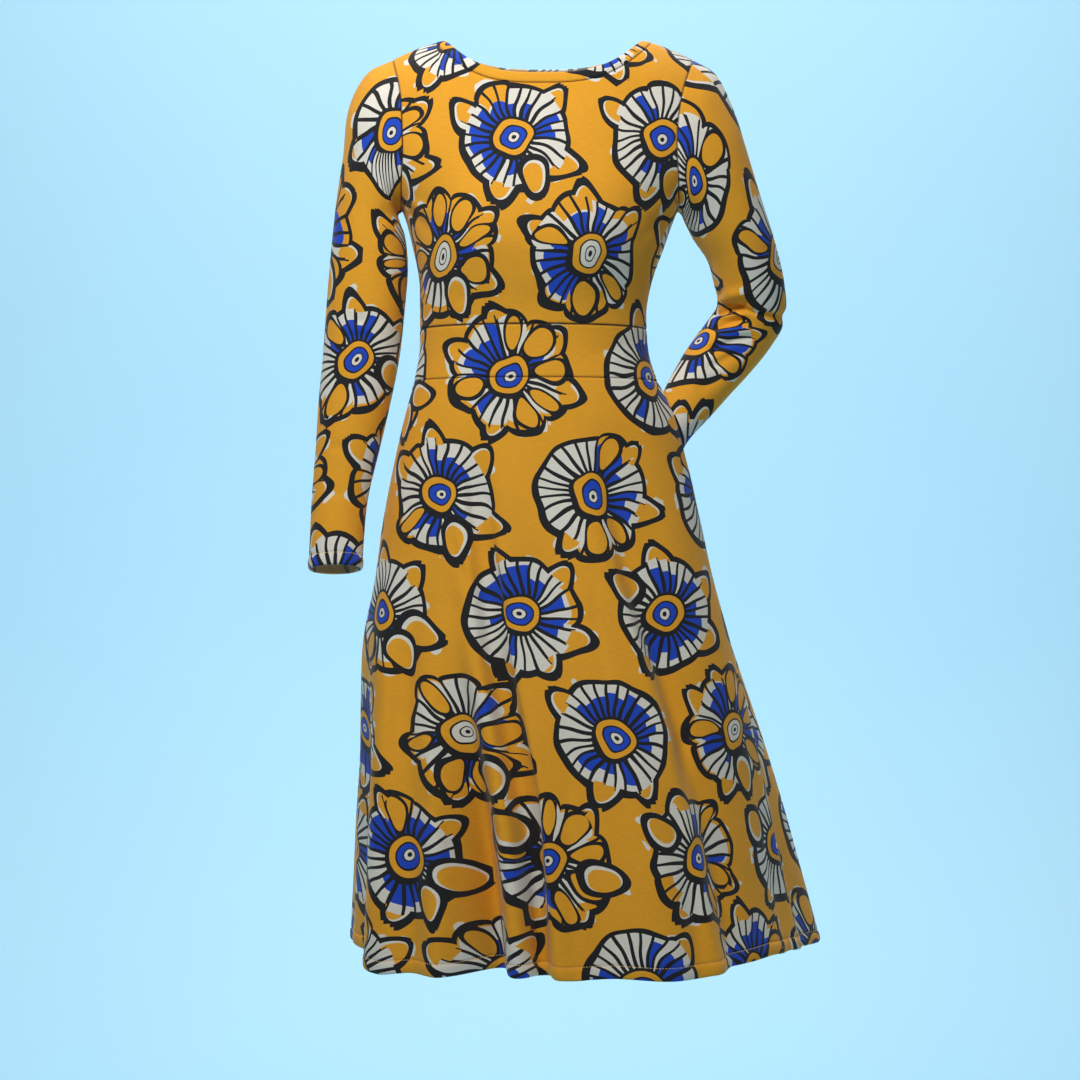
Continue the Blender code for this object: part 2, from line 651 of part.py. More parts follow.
def build_panel(name, panel, meetings):
    """The wall of cloth between the piece's outer points and the points one wall further in."""
    rows = panel["rows"]
    count = len(rows[0])
    plain, outer, inner = [], [], []
    for r, row in enumerate(rows):
        for c, point in enumerate(row):
            wall = panel["wall"]
            if panel["turned"] == "first" and r <= 1 or panel["turned"] == "last" and r >= len(rows) - 2:
                wall = HEM_WALL
            shift, normal = Vector(), panel["normals"][key_of(point)]
            if (r, c) in panel["tangents"]:
                met = meetings[key_of(point)]
                shift, normal = seam_shift_and_normal(name, panel["tangents"][(r, c)], normal, met)
            plain.append(point)
            outer.append(point + shift)
            inner.append(point + shift - normal * wall)
    faces = []
    spans = count if panel["closed"] else count - 1
    skin = len(outer)
    last = len(rows) - 1

    def index(r, c):
        return r * count + c % count

    for r in range(last):
        for c in range(spans):
            a, b, d, e = index(r, c), index(r, c + 1), index(r + 1, c + 1), index(r + 1, c)
            if (outer[a] - outer[d]).length < (outer[b] - outer[e]).length:
                pair = [(a, b, d), (a, d, e)]
            else:
                pair = [(a, b, e), (b, d, e)]
            faces += pair
            faces += [tuple(skin + i for i in reversed(face)) for face in pair]
    for c in range(spans):
        faces += wall_edge(plain, index(0, c), index(0, c + 1), skin, False)
        faces += wall_edge(plain, index(last, c), index(last, c + 1), skin, True)
    if not panel["closed"]:
        for r in range(last):
            faces += wall_edge(plain, index(r, 0), index(r + 1, 0), skin, True)
            faces += wall_edge(plain, index(r, count - 1), index(r + 1, count - 1), skin, False)
    mesh = bpy.data.meshes.new(name)
    mesh.from_pydata([tuple(v) for v in outer + inner], [], faces)
    mesh.validate()
    mesh.shade_smooth()
    mesh.set_sharp_from_angle(angle=math.radians(40))
    obj = bpy.data.objects.new(name, mesh)
    bpy.context.scene.collection.objects.link(obj)
    mesh.materials.append(cloth_material(name, panel["colour"]))
    return obj


def cloth_material(name, colour):
    material = bpy.data.materials.new(name + "_cloth")
    material.use_nodes = True
    shader = material.node_tree.nodes["Principled BSDF"]
    shader.inputs["Base Color"].default_value = (*colour, 1.0)
    shader.inputs["Roughness"].default_value = 0.75
    shader.inputs["Metallic"].default_value = 0.0
    return material


def main():
    for obj in list(bpy.data.objects):
        bpy.data.objects.remove(obj)
    panels = all_panels()
    for name, panel in panels.items():
        face_outwards(panel, name)
    meetings = seam_places(panels)
    for name, panel in panels.items():
        build_panel(name, panel, meetings)


main()
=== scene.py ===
# %% [markdown]
# # A long-sleeved dress in wax print
# The real dress is pulled on over the head. It is cut from a soft printed cloth, with a wide neck in a
# narrow band, a fitted bodice, a waistband, set-in sleeves and a flared skirt with a pocket in its left side.
# This lesson makes it as a maker would: flat pieces of cloth, each with its own place in the print,
# joined edge to edge. The shape of every piece is worked out from a few tables of real sizes.

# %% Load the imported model
import math
import random
from collections import namedtuple
from functools import lru_cache

import bpy
import numpy as np
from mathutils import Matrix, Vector


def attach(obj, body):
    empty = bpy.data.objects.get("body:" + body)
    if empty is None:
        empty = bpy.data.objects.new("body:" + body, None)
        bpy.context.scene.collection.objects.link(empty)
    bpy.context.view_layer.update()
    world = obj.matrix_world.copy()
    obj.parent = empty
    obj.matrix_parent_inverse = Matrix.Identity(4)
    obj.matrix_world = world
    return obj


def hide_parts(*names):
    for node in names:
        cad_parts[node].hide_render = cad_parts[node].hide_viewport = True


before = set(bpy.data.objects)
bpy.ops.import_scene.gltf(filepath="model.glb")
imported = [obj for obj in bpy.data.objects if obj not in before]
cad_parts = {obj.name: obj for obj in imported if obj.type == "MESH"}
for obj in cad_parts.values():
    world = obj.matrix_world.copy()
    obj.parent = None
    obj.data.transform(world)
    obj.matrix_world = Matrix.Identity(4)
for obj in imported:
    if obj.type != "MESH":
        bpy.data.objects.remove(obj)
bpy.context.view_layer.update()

print("solids of the dress:", sorted(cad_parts))

# %% [markdown]
# ## The camera and the light
# The photograph looks straight at the front of the dress, level with its middle. A long lens from
# three metres keeps the sleeves and the skirt in true proportion, and the frame is 1.296 m wide there.

# %% Camera
EYE_DISTANCE = 3.2
EYE_LEVEL = -0.588
FRAME_WIDTH = 1.296

camera_data = bpy.data.cameras.new("studio_camera")
camera_data.sensor_width = 36.0
camera_data.lens = camera_data.sensor_width * EYE_DISTANCE / FRAME_WIDTH
camera_data.clip_end = 50.0
camera = bpy.data.objects.new("studio_camera", camera_data)
camera.location = (0.0, -EYE_DISTANCE, EYE_LEVEL)
camera.rotation_euler = (math.pi / 2, 0.0, 0.0)
bpy.context.scene.collection.objects.link(camera)
bpy.context.scene.camera = camera
print("lens in millimetres:", round(camera_data.lens, 1))

# %% [markdown]
# A studio sweep is one pale sheet that runs along the floor and curves up behind. It gives no corner
# and no hard line behind the dress, so only the cloth is looked at.

# %% Studio sweep
FLOOR_Z = -1.9
SWEEP_FRONT = -14.0
SWEEP_BACK = 2.6
SWEEP_RADIUS = 1.2
SWEEP_HALF_WIDTH = 12.0
SWEEP_TOP = 4.5
SWEEP_STEPS = 12


def srgb(hex_colour):
    """The linear colour of a hex value such as "#E8A22C"."""
    parts = [int(hex_colour[i : i + 2], 16) / 255 for i in (1, 3, 5)]
    return tuple(p / 12.92 if p <= 0.04045 else ((p + 0.055) / 1.055) ** 2.4 for p in parts) + (1.0,)


def add_node(tree, kind, *inputs, **settings):
    """Adds one node, sets it, and links or sets its inputs in order. None leaves an input as it is."""
    whole_name = kind.startswith(("NodeGroup", "GeometryNode", "FunctionNode"))
    made = tree.nodes.new(kind if whole_name else "ShaderNode" + kind)
    for name, value in settings.items():
        setattr(made, name, value)
    for socket, value in zip(made.inputs, inputs):
        if isinstance(value, bpy.types.Node):
            tree.links.new(value.outputs[0], socket)
        elif isinstance(value, bpy.types.NodeSocket):
            tree.links.new(value, socket)
        elif value is not None:
            socket.default_value = value
    return made


def new_material(name):
    """An empty material with its surface shader, as a pair of the material and the shader."""
    material = bpy.data.materials.new(name)
    material.use_nodes = True
    material.node_tree.nodes.clear()
    shader = add_node(material.node_tree, "BsdfPrincipled")
    add_node(material.node_tree, "OutputMaterial", shader)
    return material, shader


profile = [(SWEEP_FRONT, FLOOR_Z), (SWEEP_BACK, FLOOR_Z)]
for i in range(1, SWEEP_STEPS + 1):
    turn = math.pi / 2 * i / SWEEP_STEPS
    back = SWEEP_BACK + SWEEP_RADIUS * math.sin(turn)
    profile.append((back, FLOOR_Z + SWEEP_RADIUS * (1 - math.cos(turn))))
profile.append((SWEEP_BACK + SWEEP_RADIUS, SWEEP_TOP))
corners = [(side * SWEEP_HALF_WIDTH, y, z) for y, z in profile for side in (-1, 1)]
sweep_mesh = bpy.data.meshes.new("studio_sweep")
sweep_mesh.from_pydata(corners, [], [(i, i + 1, i + 3, i + 2) for i in range(0, len(corners) - 2, 2)])
sweep_mesh.shade_smooth()
sweep = bpy.data.objects.new("studio_sweep", sweep_mesh)
bpy.context.scene.collection.objects.link(sweep)
paper, paper_shader = new_material("matt_background_paper")
paper_shader.inputs["Base Color"].default_value = srgb("#B4E2F8")
paper_shader.inputs["Roughness"].default_value = 0.9
sweep_mesh.materials.append(paper)
print("floor at", FLOOR_Z)

# %% [markdown]
# The light in the photograph is broad and comes from in front and a little above, so folds show as soft
# shade, and the hem is darker than the shoulders. One key light near the shoulders does that, with a weaker
# one on the other side, one behind that picks out the edges, and a faint even light all round. The paper has
# two lights of its own, one above and one near the floor, which keep it even without lighting the dress.

# %% Lights
Lamp = namedtuple("Lamp", "name place aim width height watts")
LAMPS = [
    Lamp("key_light", (-0.46, -1.24, 0.88), (0.0, 0.0, -0.30), 0.6, 0.5, 24.0),
    Lamp("fill_light", (2.0, -2.4, 0.2), (0.0, 0.0, -0.6), 1.8, 1.8, 6.5),
    Lamp("back_light", (0.6, 2.0, 1.3), (0.0, 0.0, -0.5), 1.6, 1.2, 22.0),
    Lamp("backdrop_light", (0.0, 1.2, 2.6), (0.0, 3.6, -0.4), 4.0, 1.0, 120.0),
    Lamp("low_backdrop_light", (0.0, 1.3, -1.75), (0.0, 3.5, -1.2), 4.0, 0.5, 34.0),
]
for lamp in LAMPS:
    light = bpy.data.lights.new(lamp.name, "AREA")
    light.shape = "RECTANGLE"
    light.size = lamp.width
    light.size_y = lamp.height
    light.energy = lamp.watts
    lamp_object = bpy.data.objects.new(lamp.name, light)
    lamp_object.location = lamp.place
    lamp_object.visible_camera = False
    toward = Vector(lamp.aim) - Vector(lamp.place)
    lamp_object.rotation_euler = toward.to_track_quat("-Z", "Y").to_euler()
    bpy.context.scene.collection.objects.link(lamp_object)

world = bpy.data.worlds.new("studio_air")
world.use_nodes = True
air = world.node_tree.nodes["Background"].inputs
air["Color"].default_value = srgb("#FFECCF")
air["Strength"].default_value = 0.12
bpy.context.scene.world = world
bpy.context.scene.view_settings.view_transform = "Standard"
print("lamps:", [lamp.name for lamp in LAMPS])

# %% [markdown]
# ## The form of the dress
# A dress on a figure is a tube of changing section. Each level has a half width, a depth in front and
# a depth behind, read off a smooth curve through a short table. These are the sizes of the packed
# solids, so that the finished cloth lies where they lie.

# %% Sizes of the cloth
WALL = 0.0015
BAG_WALL = 0.0010
NECKBAND_WALL = 0.0020
HEM_WALL = 0.0026
SEAM_GAP = 0.0003

WAIST_SEAM_Z = -0.336
SKIRT_SEAM_Z = -0.398
ARMPIT_Z = -0.194
HEM_SIDE_Z = -1.070
HEM_FRONT_DIP = 0.013
HEM_BACK_DIP = 0.016
HEM_TURN = 0.015

NECK_HALF_WIDTH = 0.118
NECK_POINT_Z = 0.010
FRONT_NECK_Z = -0.039
BACK_NECK_Z = -0.012
NECK_CURVE = 3.1
NECK_STEP_BEND = 0.75
NECKBAND_WIDTH = 0.012
SHOULDER_HALF_WIDTH = 0.180
SHOULDER_DROP = 0.0225
SHOULDER_BEND = 1.4
SHOULDER_ROUNDING = 0.062
SHOULDER_POINT_Z = NECK_POINT_Z - SHOULDER_DROP

MOUTH_TOP_Z = -0.401
MOUTH_BOTTOM_Z = -0.552
MOUTH_FRONT_DEG = 12.0
MOUTH_BACK_DEG = 29.0
MOUTH_SKEW = 0.70
MOUTH_LIP_OUT = 0.004
MOUTH_LIP_NARROW = 12
MOUTH_REACH = 4

TORSO_POWER = 2.1
FRONT, BACK = -1, 1

print("waistband height in millimetres:", round((WAIST_SEAM_Z - SKIRT_SEAM_Z) * 1000))

# %% [markdown]
# Each row of this table is one level of the dress, from above the shoulders to below the hem. A solid
# could be shaped by pushing points about, but a few measured levels give a fair surface at once, and
# they can be read and mended like a dressmaker's chart.

# %% Levels of the dress
Section = namedtuple("Section", "z centre_x half_width front back")
SECTIONS = [
    Section(0.030, 0.004, 0.206, 0.046, 0.056),
    Section(0.000, 0.004, 0.212, 0.056, 0.066),
    Section(-0.050, 0.002, 0.216, 0.073, 0.083),
    Section(-0.100, 0.000, 0.210, 0.090, 0.095),
    Section(-0.150, 0.000, 0.191, 0.105, 0.100),
    Section(-0.194, 0.000, 0.165, 0.114, 0.099),
    Section(-0.240, -0.002, 0.150, 0.116, 0.093),
    Section(-0.276, -0.005, 0.140, 0.110, 0.087),
    Section(-0.310, -0.008, 0.136, 0.102, 0.083),
    Section(-0.336, -0.008, 0.136, 0.098, 0.083),
    Section(-0.367, -0.007, 0.138, 0.097, 0.087),
    Section(-0.398, -0.005, 0.146, 0.099, 0.096),
    Section(-0.444, -0.001, 0.162, 0.104, 0.112),
    Section(-0.492, 0.000, 0.174, 0.108, 0.124),
    Section(-0.564, 0.002, 0.190, 0.116, 0.136),
    Section(-0.636, 0.005, 0.203, 0.126, 0.147),
    Section(-0.708, 0.009, 0.221, 0.138, 0.158),
    Section(-0.780, 0.019, 0.234, 0.151, 0.170),
    Section(-0.852, 0.029, 0.245, 0.164, 0.183),
    Section(-0.924, 0.037, 0.256, 0.177, 0.196),
    Section(-0.996, 0.045, 0.266, 0.190, 0.209),
    Section(-1.068, 0.053, 0.277, 0.203, 0.222),
    Section(-1.140, 0.061, 0.287, 0.215, 0.234),
]

ArmholeLevel = namedtuple("ArmholeLevel", "z half_width")
ARMHOLE = [
    ArmholeLevel(-0.194, 0.165),
    ArmholeLevel(-0.165, 0.1638),
    ArmholeLevel(-0.120, 0.162),
    ArmholeLevel(-0.060, 0.167),
    ArmholeLevel(SHOULDER_POINT_Z, SHOULDER_HALF_WIDTH),
]

BUST_X, BUST_Z = 0.078, -0.232
BUST_SPREAD_X, BUST_SPREAD_Z = 0.055, 0.060
BUST_OUT = 0.011


print("levels in the table:", len(SECTIONS))

# %% [markdown]
# Between two rows of a table the dress follows a smooth curve. A straight line would leave a ridge at
# every row. Each stretch here is a cubic whose slope at a row is shared by both its neighbours.

# %% A smooth curve through a table


def blend_along(rows, key, column, at):
    """A smooth curve through one column of a table, read where its key column is `at`."""
    keys = [getattr(row, key) for row in rows]
    values = [getattr(row, column) for row in rows]
    if keys[0] > keys[-1]:
        keys, values = keys[::-1], values[::-1]
    at = min(max(at, keys[0]), keys[-1])
    span = next(i for i in range(len(keys) - 1) if at <= keys[i + 1])

    def slope(i):
        low, high = max(i - 1, 0), min(i + 1, len(keys) - 1)
        return (values[high] - values[low]) / (keys[high] - keys[low])

    width = keys[span + 1] - keys[span]
    t = (at - keys[span]) / width
    return (
        values[span] * (1 + 2 * t) * (1 - t) ** 2
        + slope(span) * width * t * (1 - t) ** 2
        + values[span + 1] * t * t * (3 - 2 * t)
        + slope(span + 1) * width * t * t * (t - 1)
    )


@lru_cache(maxsize=200000)
def section(column, z):
    return blend_along(SECTIONS, "z", column, z)


def ease(t):
    t = min(max(t, 0.0), 1.0)
    return t * t * (3 - 2 * t)


print("half width at the waist seam:", section("half_width", WAIST_SEAM_Z))

# %% [markdown]
# ## The bodice
# Front and back bodice each run from the waist seam to the shoulder, with an armhole at each side and
# the neck cut out. Both are filled in between their four edges while the cloth is thought of as flat,
# and then wrapped round the figure. That way no row of the cloth crosses another at the armhole.

# %% Round the body, and over the shoulder


def shoulder_line_z(x):
    """Height of the shoulder seam, and of its straight run on across the neck opening."""
    out = (abs(x) - NECK_HALF_WIDTH) / (SHOULDER_HALF_WIDTH - NECK_HALF_WIDTH)
    return NECK_POINT_Z - SHOULDER_DROP * (out**SHOULDER_BEND if out > 0 else out)


def body_point(side, across, z):
    """A point of the bodice or waistband. `across` is -1 at the right side seam and 1 at the left one."""
    lateral = section("half_width", z) * across
    depth = section("front" if side == FRONT else "back", z)
    if side == FRONT:
        for bust_x in (-BUST_X, BUST_X):
            reach = ((lateral - bust_x) / BUST_SPREAD_X) ** 2 + ((z - BUST_Z) / BUST_SPREAD_Z) ** 2
            depth += BUST_OUT * math.exp(-reach)
    roundness = max(1 - abs(across) ** TORSO_POWER, 0.0) ** (1 / TORSO_POWER)
    below_line = (shoulder_line_z(lateral) - z) / SHOULDER_ROUNDING
    below_line = min(max(below_line, 0.0), 1.0)
    shoulder = math.sqrt(1 - (1 - below_line) ** 2)
    return Vector((section("centre_x", z) + lateral, side * depth * roundness * shoulder, z))


def on_body(side, x, z):
    return body_point(side, x / section("half_width", z), z)


def ring_angle(angle):
    """Where a ray at this angle from the front centre meets the unit section: across, and in depth."""
    s, c = math.sin(angle), math.cos(angle)
    reach = (abs(s) ** TORSO_POWER + abs(c) ** TORSO_POWER) ** (-1 / TORSO_POWER)
    return reach * s, reach * c


def angle_of(across):
    """The ring angle whose point lies at this share of the half width."""
    forward = max(1 - abs(across) ** TORSO_POWER, 0.0) ** (1 / TORSO_POWER)
    return math.atan2(across, forward)


front_middle = on_body(FRONT, 0.0, BUST_Z)
print("the bust line stands forward in millimetres:", round(-front_middle.y * 1000))

# %% [markdown]
# Cloth is cut flat, so every point of the body also has a place on the flat cloth. Over the round of the
# shoulder the cloth is longer than its height, and these helpers turn one into the other and back.

# %% The body laid flat


def flat_from_shoulder(below):
    """Distance down the cloth from the shoulder seam, over the round of the shoulder and on."""
    below = max(below, 0.0)
    if below < SHOULDER_ROUNDING:
        return SHOULDER_ROUNDING * math.acos(1 - below / SHOULDER_ROUNDING)
    return SHOULDER_ROUNDING * (math.pi / 2 - 1) + below


def below_shoulder(flat):
    if flat < SHOULDER_ROUNDING * math.pi / 2:
        return SHOULDER_ROUNDING * (1 - math.cos(flat / SHOULDER_ROUNDING))
    return flat - SHOULDER_ROUNDING * (math.pi / 2 - 1)


def flat_place(across, z):
    """Where a point of the body lies when the cloth is laid flat: round from the centre, and down."""
    line = shoulder_line_z(SHOULDER_HALF_WIDTH * across)
    return SHOULDER_HALF_WIDTH * angle_of(across), flat_from_shoulder(line - z)


def body_from_flat(side, place):
    across = ring_angle(place[0] / SHOULDER_HALF_WIDTH)[0]
    return body_point(side, across, shoulder_line_z(SHOULDER_HALF_WIDTH * across) - below_shoulder(place[1]))


def print_down(point):
    """How far down the print a point is: its depth below the shoulders, measured over the cloth."""
    line = shoulder_line_z(min(abs(point.x), SHOULDER_HALF_WIDTH))
    return flat_from_shoulder(line - point.z) - SHOULDER_ROUNDING * (math.pi / 2 - 1) - line


print("cloth from the shoulder seam to the waist seam:", round(flat_from_shoulder(-WAIST_SEAM_Z), 3))

# %% [markdown]
# The neck edge, the armholes and the shoulder seams are curves with names of their own, because two
# pieces meet on each of them. Both pieces read the same curve at the same places, so their edges fit.
# Places are counted in steps, with a few extra ones close to each seam, where the cloth rolls in.

# %% Edges of the bodice
SIDE_STEPS = 6
ARMHOLE_STEPS = 9
SHOULDER_STEPS = 3
NECK_STEPS = 10
TOP_STEPS = 2 * SHOULDER_STEPS + 2 * NECK_STEPS
CLOSE_TO_SEAM = (0.0008, 0.0018, 0.0032)


def fine_places(steps, per_step, step_size=0.0, sewn_low=False, sewn_high=False):
    """Places from 0 to `steps`, closer together beside a sewn end."""
    places = {i / per_step for i in range(steps * per_step + 1)}
    if sewn_low:
        places |= {distance / step_size for distance in CLOSE_TO_SEAM}
    if sewn_high:
        places |= {steps - distance / step_size for distance in CLOSE_TO_SEAM}
    return sorted(places)


def neck_edge(side, turn):
    """The finished neck edge, as half width and height. `turn` is -1 and 1 at the shoulder seams."""
    swing = math.sin(turn * math.pi / 2)
    low = FRONT_NECK_Z if side == FRONT else BACK_NECK_Z
    return NECK_HALF_WIDTH * swing, low + (NECK_POINT_Z - low) * abs(swing) ** NECK_CURVE


def neck_turn(place):
    """The turn along the neck at a place, counted in steps from the right shoulder seam."""
    t = place / NECK_STEPS - 1
    return math.copysign(1 - (1 - abs(t)) ** NECK_STEP_BEND, t)


def neck_seam(side, turn):
    """Where the neckband meets the bodice: the neck edge moved out by the band's width."""
    x, z = neck_edge(side, turn)
    end_drop = NECK_POINT_Z - shoulder_line_z(NECK_HALF_WIDTH + NECKBAND_WIDTH)
    share = abs(math.sin(turn * math.pi / 2)) ** 1.5
    direction = (math.pi / 2) * (1 - share) + math.atan2(end_drop, NECKBAND_WIDTH) * share
    width = NECKBAND_WIDTH * (1 - share) + math.hypot(end_drop, NECKBAND_WIDTH) * share
    return x + math.copysign(width * math.cos(direction), turn), z - width * math.sin(direction)


def armhole_point(step):
    """Half width and height of the armhole seam, counted from the armpit up to the shoulder point."""
    z = ARMPIT_Z + (SHOULDER_POINT_Z - ARMPIT_Z) * (1 - math.cos(math.pi * step / ARMHOLE_STEPS)) / 2
    return blend_along(ARMHOLE, "z", "half_width", z), z


def side_edge(place):
    """The bodice's side edge from the waist seam up: the side seam, then the armhole."""
    if place <= SIDE_STEPS:
        z = WAIST_SEAM_Z + (ARMPIT_Z - WAIST_SEAM_Z) * place / SIDE_STEPS
        return section("half_width", z), z
    return armhole_point(place - SIDE_STEPS)


def top_edge(side, place):
    """The bodice's top edge from the right shoulder point to the left: shoulder, neck, shoulder."""
    from_end = min(place, TOP_STEPS - place)
    if from_end < SHOULDER_STEPS:
        neck_x = neck_seam(side, 1)[0]
        x = SHOULDER_HALF_WIDTH + (neck_x - SHOULDER_HALF_WIDTH) * from_end / SHOULDER_STEPS
        return math.copysign(x, place - TOP_STEPS / 2), shoulder_line_z(x)
    return neck_seam(side, neck_turn(place - SHOULDER_STEPS))


def foot_edge(place):
    """The bodice's bottom edge along the waist seam."""
    across = ring_angle(math.pi * (place / TOP_STEPS - 0.5))[0]
    return section("half_width", WAIST_SEAM_Z) * across, WAIST_SEAM_Z


side_places = fine_places(SIDE_STEPS, 6, 0.0237, sewn_low=True)
armhole_steps = fine_places(ARMHOLE_STEPS, 5)
side_places += [SIDE_STEPS + step for step in armhole_steps[1:]]
top_places = fine_places(TOP_STEPS, 4, 0.0165, sewn_low=True, sewn_high=True)
print("bodice grid:", len(side_places), "rows of", len(top_places))

# %% [markdown]
# With its four edges known, the inside of a piece is filled in by adding up what each pair of opposite
# edges asks for, as a net pinned between four bent wires would lie. The wires are the sewn edges, so the
# filling can't move a seam. A subdivided plane pulled into shape by hand would not keep its edges.

# %% Bodice rows


def bodice_rows(side):
    """Rows of points from the waist seam up, filled in between the four edges of the flat cloth."""

    def flat(x, z):
        return Vector(flat_place(x / section("half_width", z), z))

    edge = [side_edge(place) for place in side_places]
    foot = [foot_edge(place) for place in top_places]
    top = [top_edge(side, place) for place in top_places]
    left, right = [flat(-x, z) for x, z in edge], [flat(x, z) for x, z in edge]
    bottom, head = [flat(x, z) for x, z in foot], [flat(x, z) for x, z in top]
    rows = []
    for r in range(len(edge)):
        up = (left[0].y - left[r].y) / (left[0].y - left[-1].y)
        row = []
        for c, place in enumerate(top_places):
            across = place / TOP_STEPS
            sides = left[r] * (1 - across) + right[r] * across
            ends = bottom[c] * (1 - up) + head[c] * up
            corners_low = left[0] * (1 - across) + right[0] * across
            corners_high = left[-1] * (1 - across) + right[-1] * across
            row.append(body_from_flat(side, sides + ends - corners_low * (1 - up) - corners_high * up))
        row[0], row[-1] = on_body(side, -edge[r][0], edge[r][1]), on_body(side, *edge[r])
        rows.append(row)
    rows[0] = [on_body(side, x, z) for x, z in foot]
    rows[-1] = [on_body(side, x, z) for x, z in top]
    return rows


bodice = {side: bodice_rows(side) for side in (FRONT, BACK)}
print("bodice points:", sum(len(row) for row in bodice[FRONT]))

# %% [markdown]
# ## Neckband and waistband
# The neckband is a narrow strip folded over the neck edge. It stands on the seam and ends in a round
# fold. The waistband is a plain strip between two seams, front and back.

# %% Band rows
BAND_SHARES = (0.0, 0.07, 0.16, 0.30, 0.46, 0.62, 0.78, 0.90, 1.0)
WAISTBAND_ROWS = 2
WAISTBAND_COLUMNS = 36


def neckband_rows():
    """Rows from the neck seam to the fold, once round from the left shoulder by the front."""
    around = [place - SHOULDER_STEPS for place in top_places
              if SHOULDER_STEPS <= place <= TOP_STEPS - SHOULDER_STEPS]
    turns = [(FRONT, neck_turn(place)) for place in reversed(around[1:])]
    turns += [(BACK, neck_turn(place)) for place in around[:-1]]
    rows = []
    for share in BAND_SHARES:
        row = []
        for side, turn in turns:
            start, end = neck_seam(side, turn), neck_edge(side, turn)
            x = start[0] + (end[0] - start[0]) * share
            row.append(on_body(side, x, start[1] + (end[1] - start[1]) * share))
        rows.append(row)
    return rows


def waistband_rows(side):
    heights = fine_places(WAISTBAND_ROWS, 8, 0.031, sewn_low=True, sewn_high=True)
    columns = fine_places(WAISTBAND_COLUMNS, 3, 0.011, sewn_low=True, sewn_high=True)
    angles = [math.pi * (place / WAISTBAND_COLUMNS - 0.5) for place in columns]
    rows = []
    for place in heights:
        z = SKIRT_SEAM_Z + (WAIST_SEAM_Z - SKIRT_SEAM_Z) * place / WAISTBAND_ROWS
        rows.append([body_point(side, ring_angle(angle)[0], z) for angle in angles])
    return rows


neckband = neckband_rows()
waistband = {side: waistband_rows(side) for side in (FRONT, BACK)}
print("points round the neckband:", len(neckband[0]))

# %% [markdown]
# ## The skirt
# The skirt flares from the waistband and hangs in soft folds that grow towards the hem. A fold is a
# line down the cloth where it stands out or lies in, and between two lines the cloth runs smoothly.
# At the left side seam front and back part for the pocket, where the hand would go in.

# %% Folds of the skirt
Fold = namedtuple("Fold", "waist_deg hem_deg out start drop")
FOLDS = [
    Fold(-90, -90, 0.000, 0.30, 0.000),
    Fold(-79, -73, -0.014, 0.35, 0.002),
    Fold(-66, -51, 0.036, 0.28, 0.007),
    Fold(-59, -42, 0.016, 0.40, 0.002),
    Fold(-52, -35, 0.028, 0.40, 0.001),
    Fold(-42, -24, -0.054, 0.42, -0.003),
    Fold(-37, -16, 0.010, 0.12, -0.003),
    Fold(-32, -11, -0.022, 0.03, -0.003),
    Fold(-25, -6, 0.010, 0.10, -0.002),
    Fold(-10, 5, 0.000, 0.20, -0.003),
    Fold(8, 19, 0.022, 0.18, -0.001),
    Fold(16, 30, 0.008, 0.10, -0.001),
    Fold(22, 42, -0.034, 0.05, 0.000),
    Fold(44, 60, -0.036, 0.30, 0.000),
    Fold(62, 76, -0.034, 0.35, 0.004),
    Fold(90, 92, -0.018, 0.35, 0.007),
    Fold(108, 111, 0.028, 0.25, 0.008),
    Fold(124, 126, -0.024, 0.20, 0.003),
    Fold(138, 141, 0.018, 0.16, 0.004),
    Fold(152, 155, -0.022, 0.08, -0.003),
    Fold(164, 168, 0.020, 0.10, 0.003),
    Fold(177, 180, -0.012, 0.06, -0.002),
    Fold(190, 192, 0.016, 0.12, 0.002),
    Fold(204, 206, -0.030, 0.14, -0.004),
    Fold(218, 221, 0.022, 0.18, 0.003),
    Fold(234, 238, -0.020, 0.26, -0.002),
    Fold(252, 254, 0.014, 0.34, 0.002),
]


print("folds round the skirt:", len(FOLDS))

# %% [markdown]
# A fold is a wave that runs down the cloth. It starts some way below the waistband and grows towards the
# hem, and its line drifts sideways on the way. Joining each line to the next with a soft curve gives the
# whole skirt. Cloth simulation could find folds too, but not these ones, in these places.

# %% The skirt's surface


@lru_cache(maxsize=1000)
def folds_at_level(down):
    """Each fold's angle, reach and drop at this share of the skirt's length, once round."""
    placed = []
    for fold in FOLDS:
        strength = ease((down - fold.start) / (1 - fold.start)) ** 0.8
        angle = fold.hem_deg + (fold.waist_deg - fold.hem_deg) * (1 - down) ** 2
        placed.append((angle, fold.out * strength, fold.drop * down * down))
    first, last = placed[0], placed[-1]
    return [(last[0] - 360, *last[1:])] + placed + [(first[0] + 360, *first[1:])]


def fold_at(angle_deg, down):
    """How far the folds carry the skirt out and its hem down, at this share of its length."""
    placed = folds_at_level(down)
    for left, right in zip(placed, placed[1:]):
        if left[0] <= angle_deg <= right[0]:
            share = ease((angle_deg - left[0]) / (right[0] - left[0]))
            return left[1] + (right[1] - left[1]) * share, left[2] + (right[2] - left[2]) * share
    return 0.0, 0.0


def skirt_outward(angle, z):
    """The level direction that faces out of the plain section at this angle."""
    across, forward = ring_angle(angle)
    depth = section("front" if forward > 0 else "back", z)
    return Vector((across / section("half_width", z), -forward / depth, 0)).normalized()


def skirt_point(angle, down, extra=0.0):
    """A point of the skirt. `angle` is from the front centre towards the wearer's left; `down` is 0 to 1."""
    across, forward = ring_angle(angle)
    dip = HEM_FRONT_DIP if forward > 0 else HEM_BACK_DIP
    out, drop = fold_at((math.degrees(angle) + 90) % 360 - 90, down)
    z = SKIRT_SEAM_Z + (HEM_SIDE_Z - dip * forward * forward - SKIRT_SEAM_Z) * down - drop
    depth = section("front" if forward > 0 else "back", z)
    plain = Vector((section("centre_x", z) + section("half_width", z) * across, -depth * forward, z))
    return plain + skirt_outward(angle, z) * (out + extra)


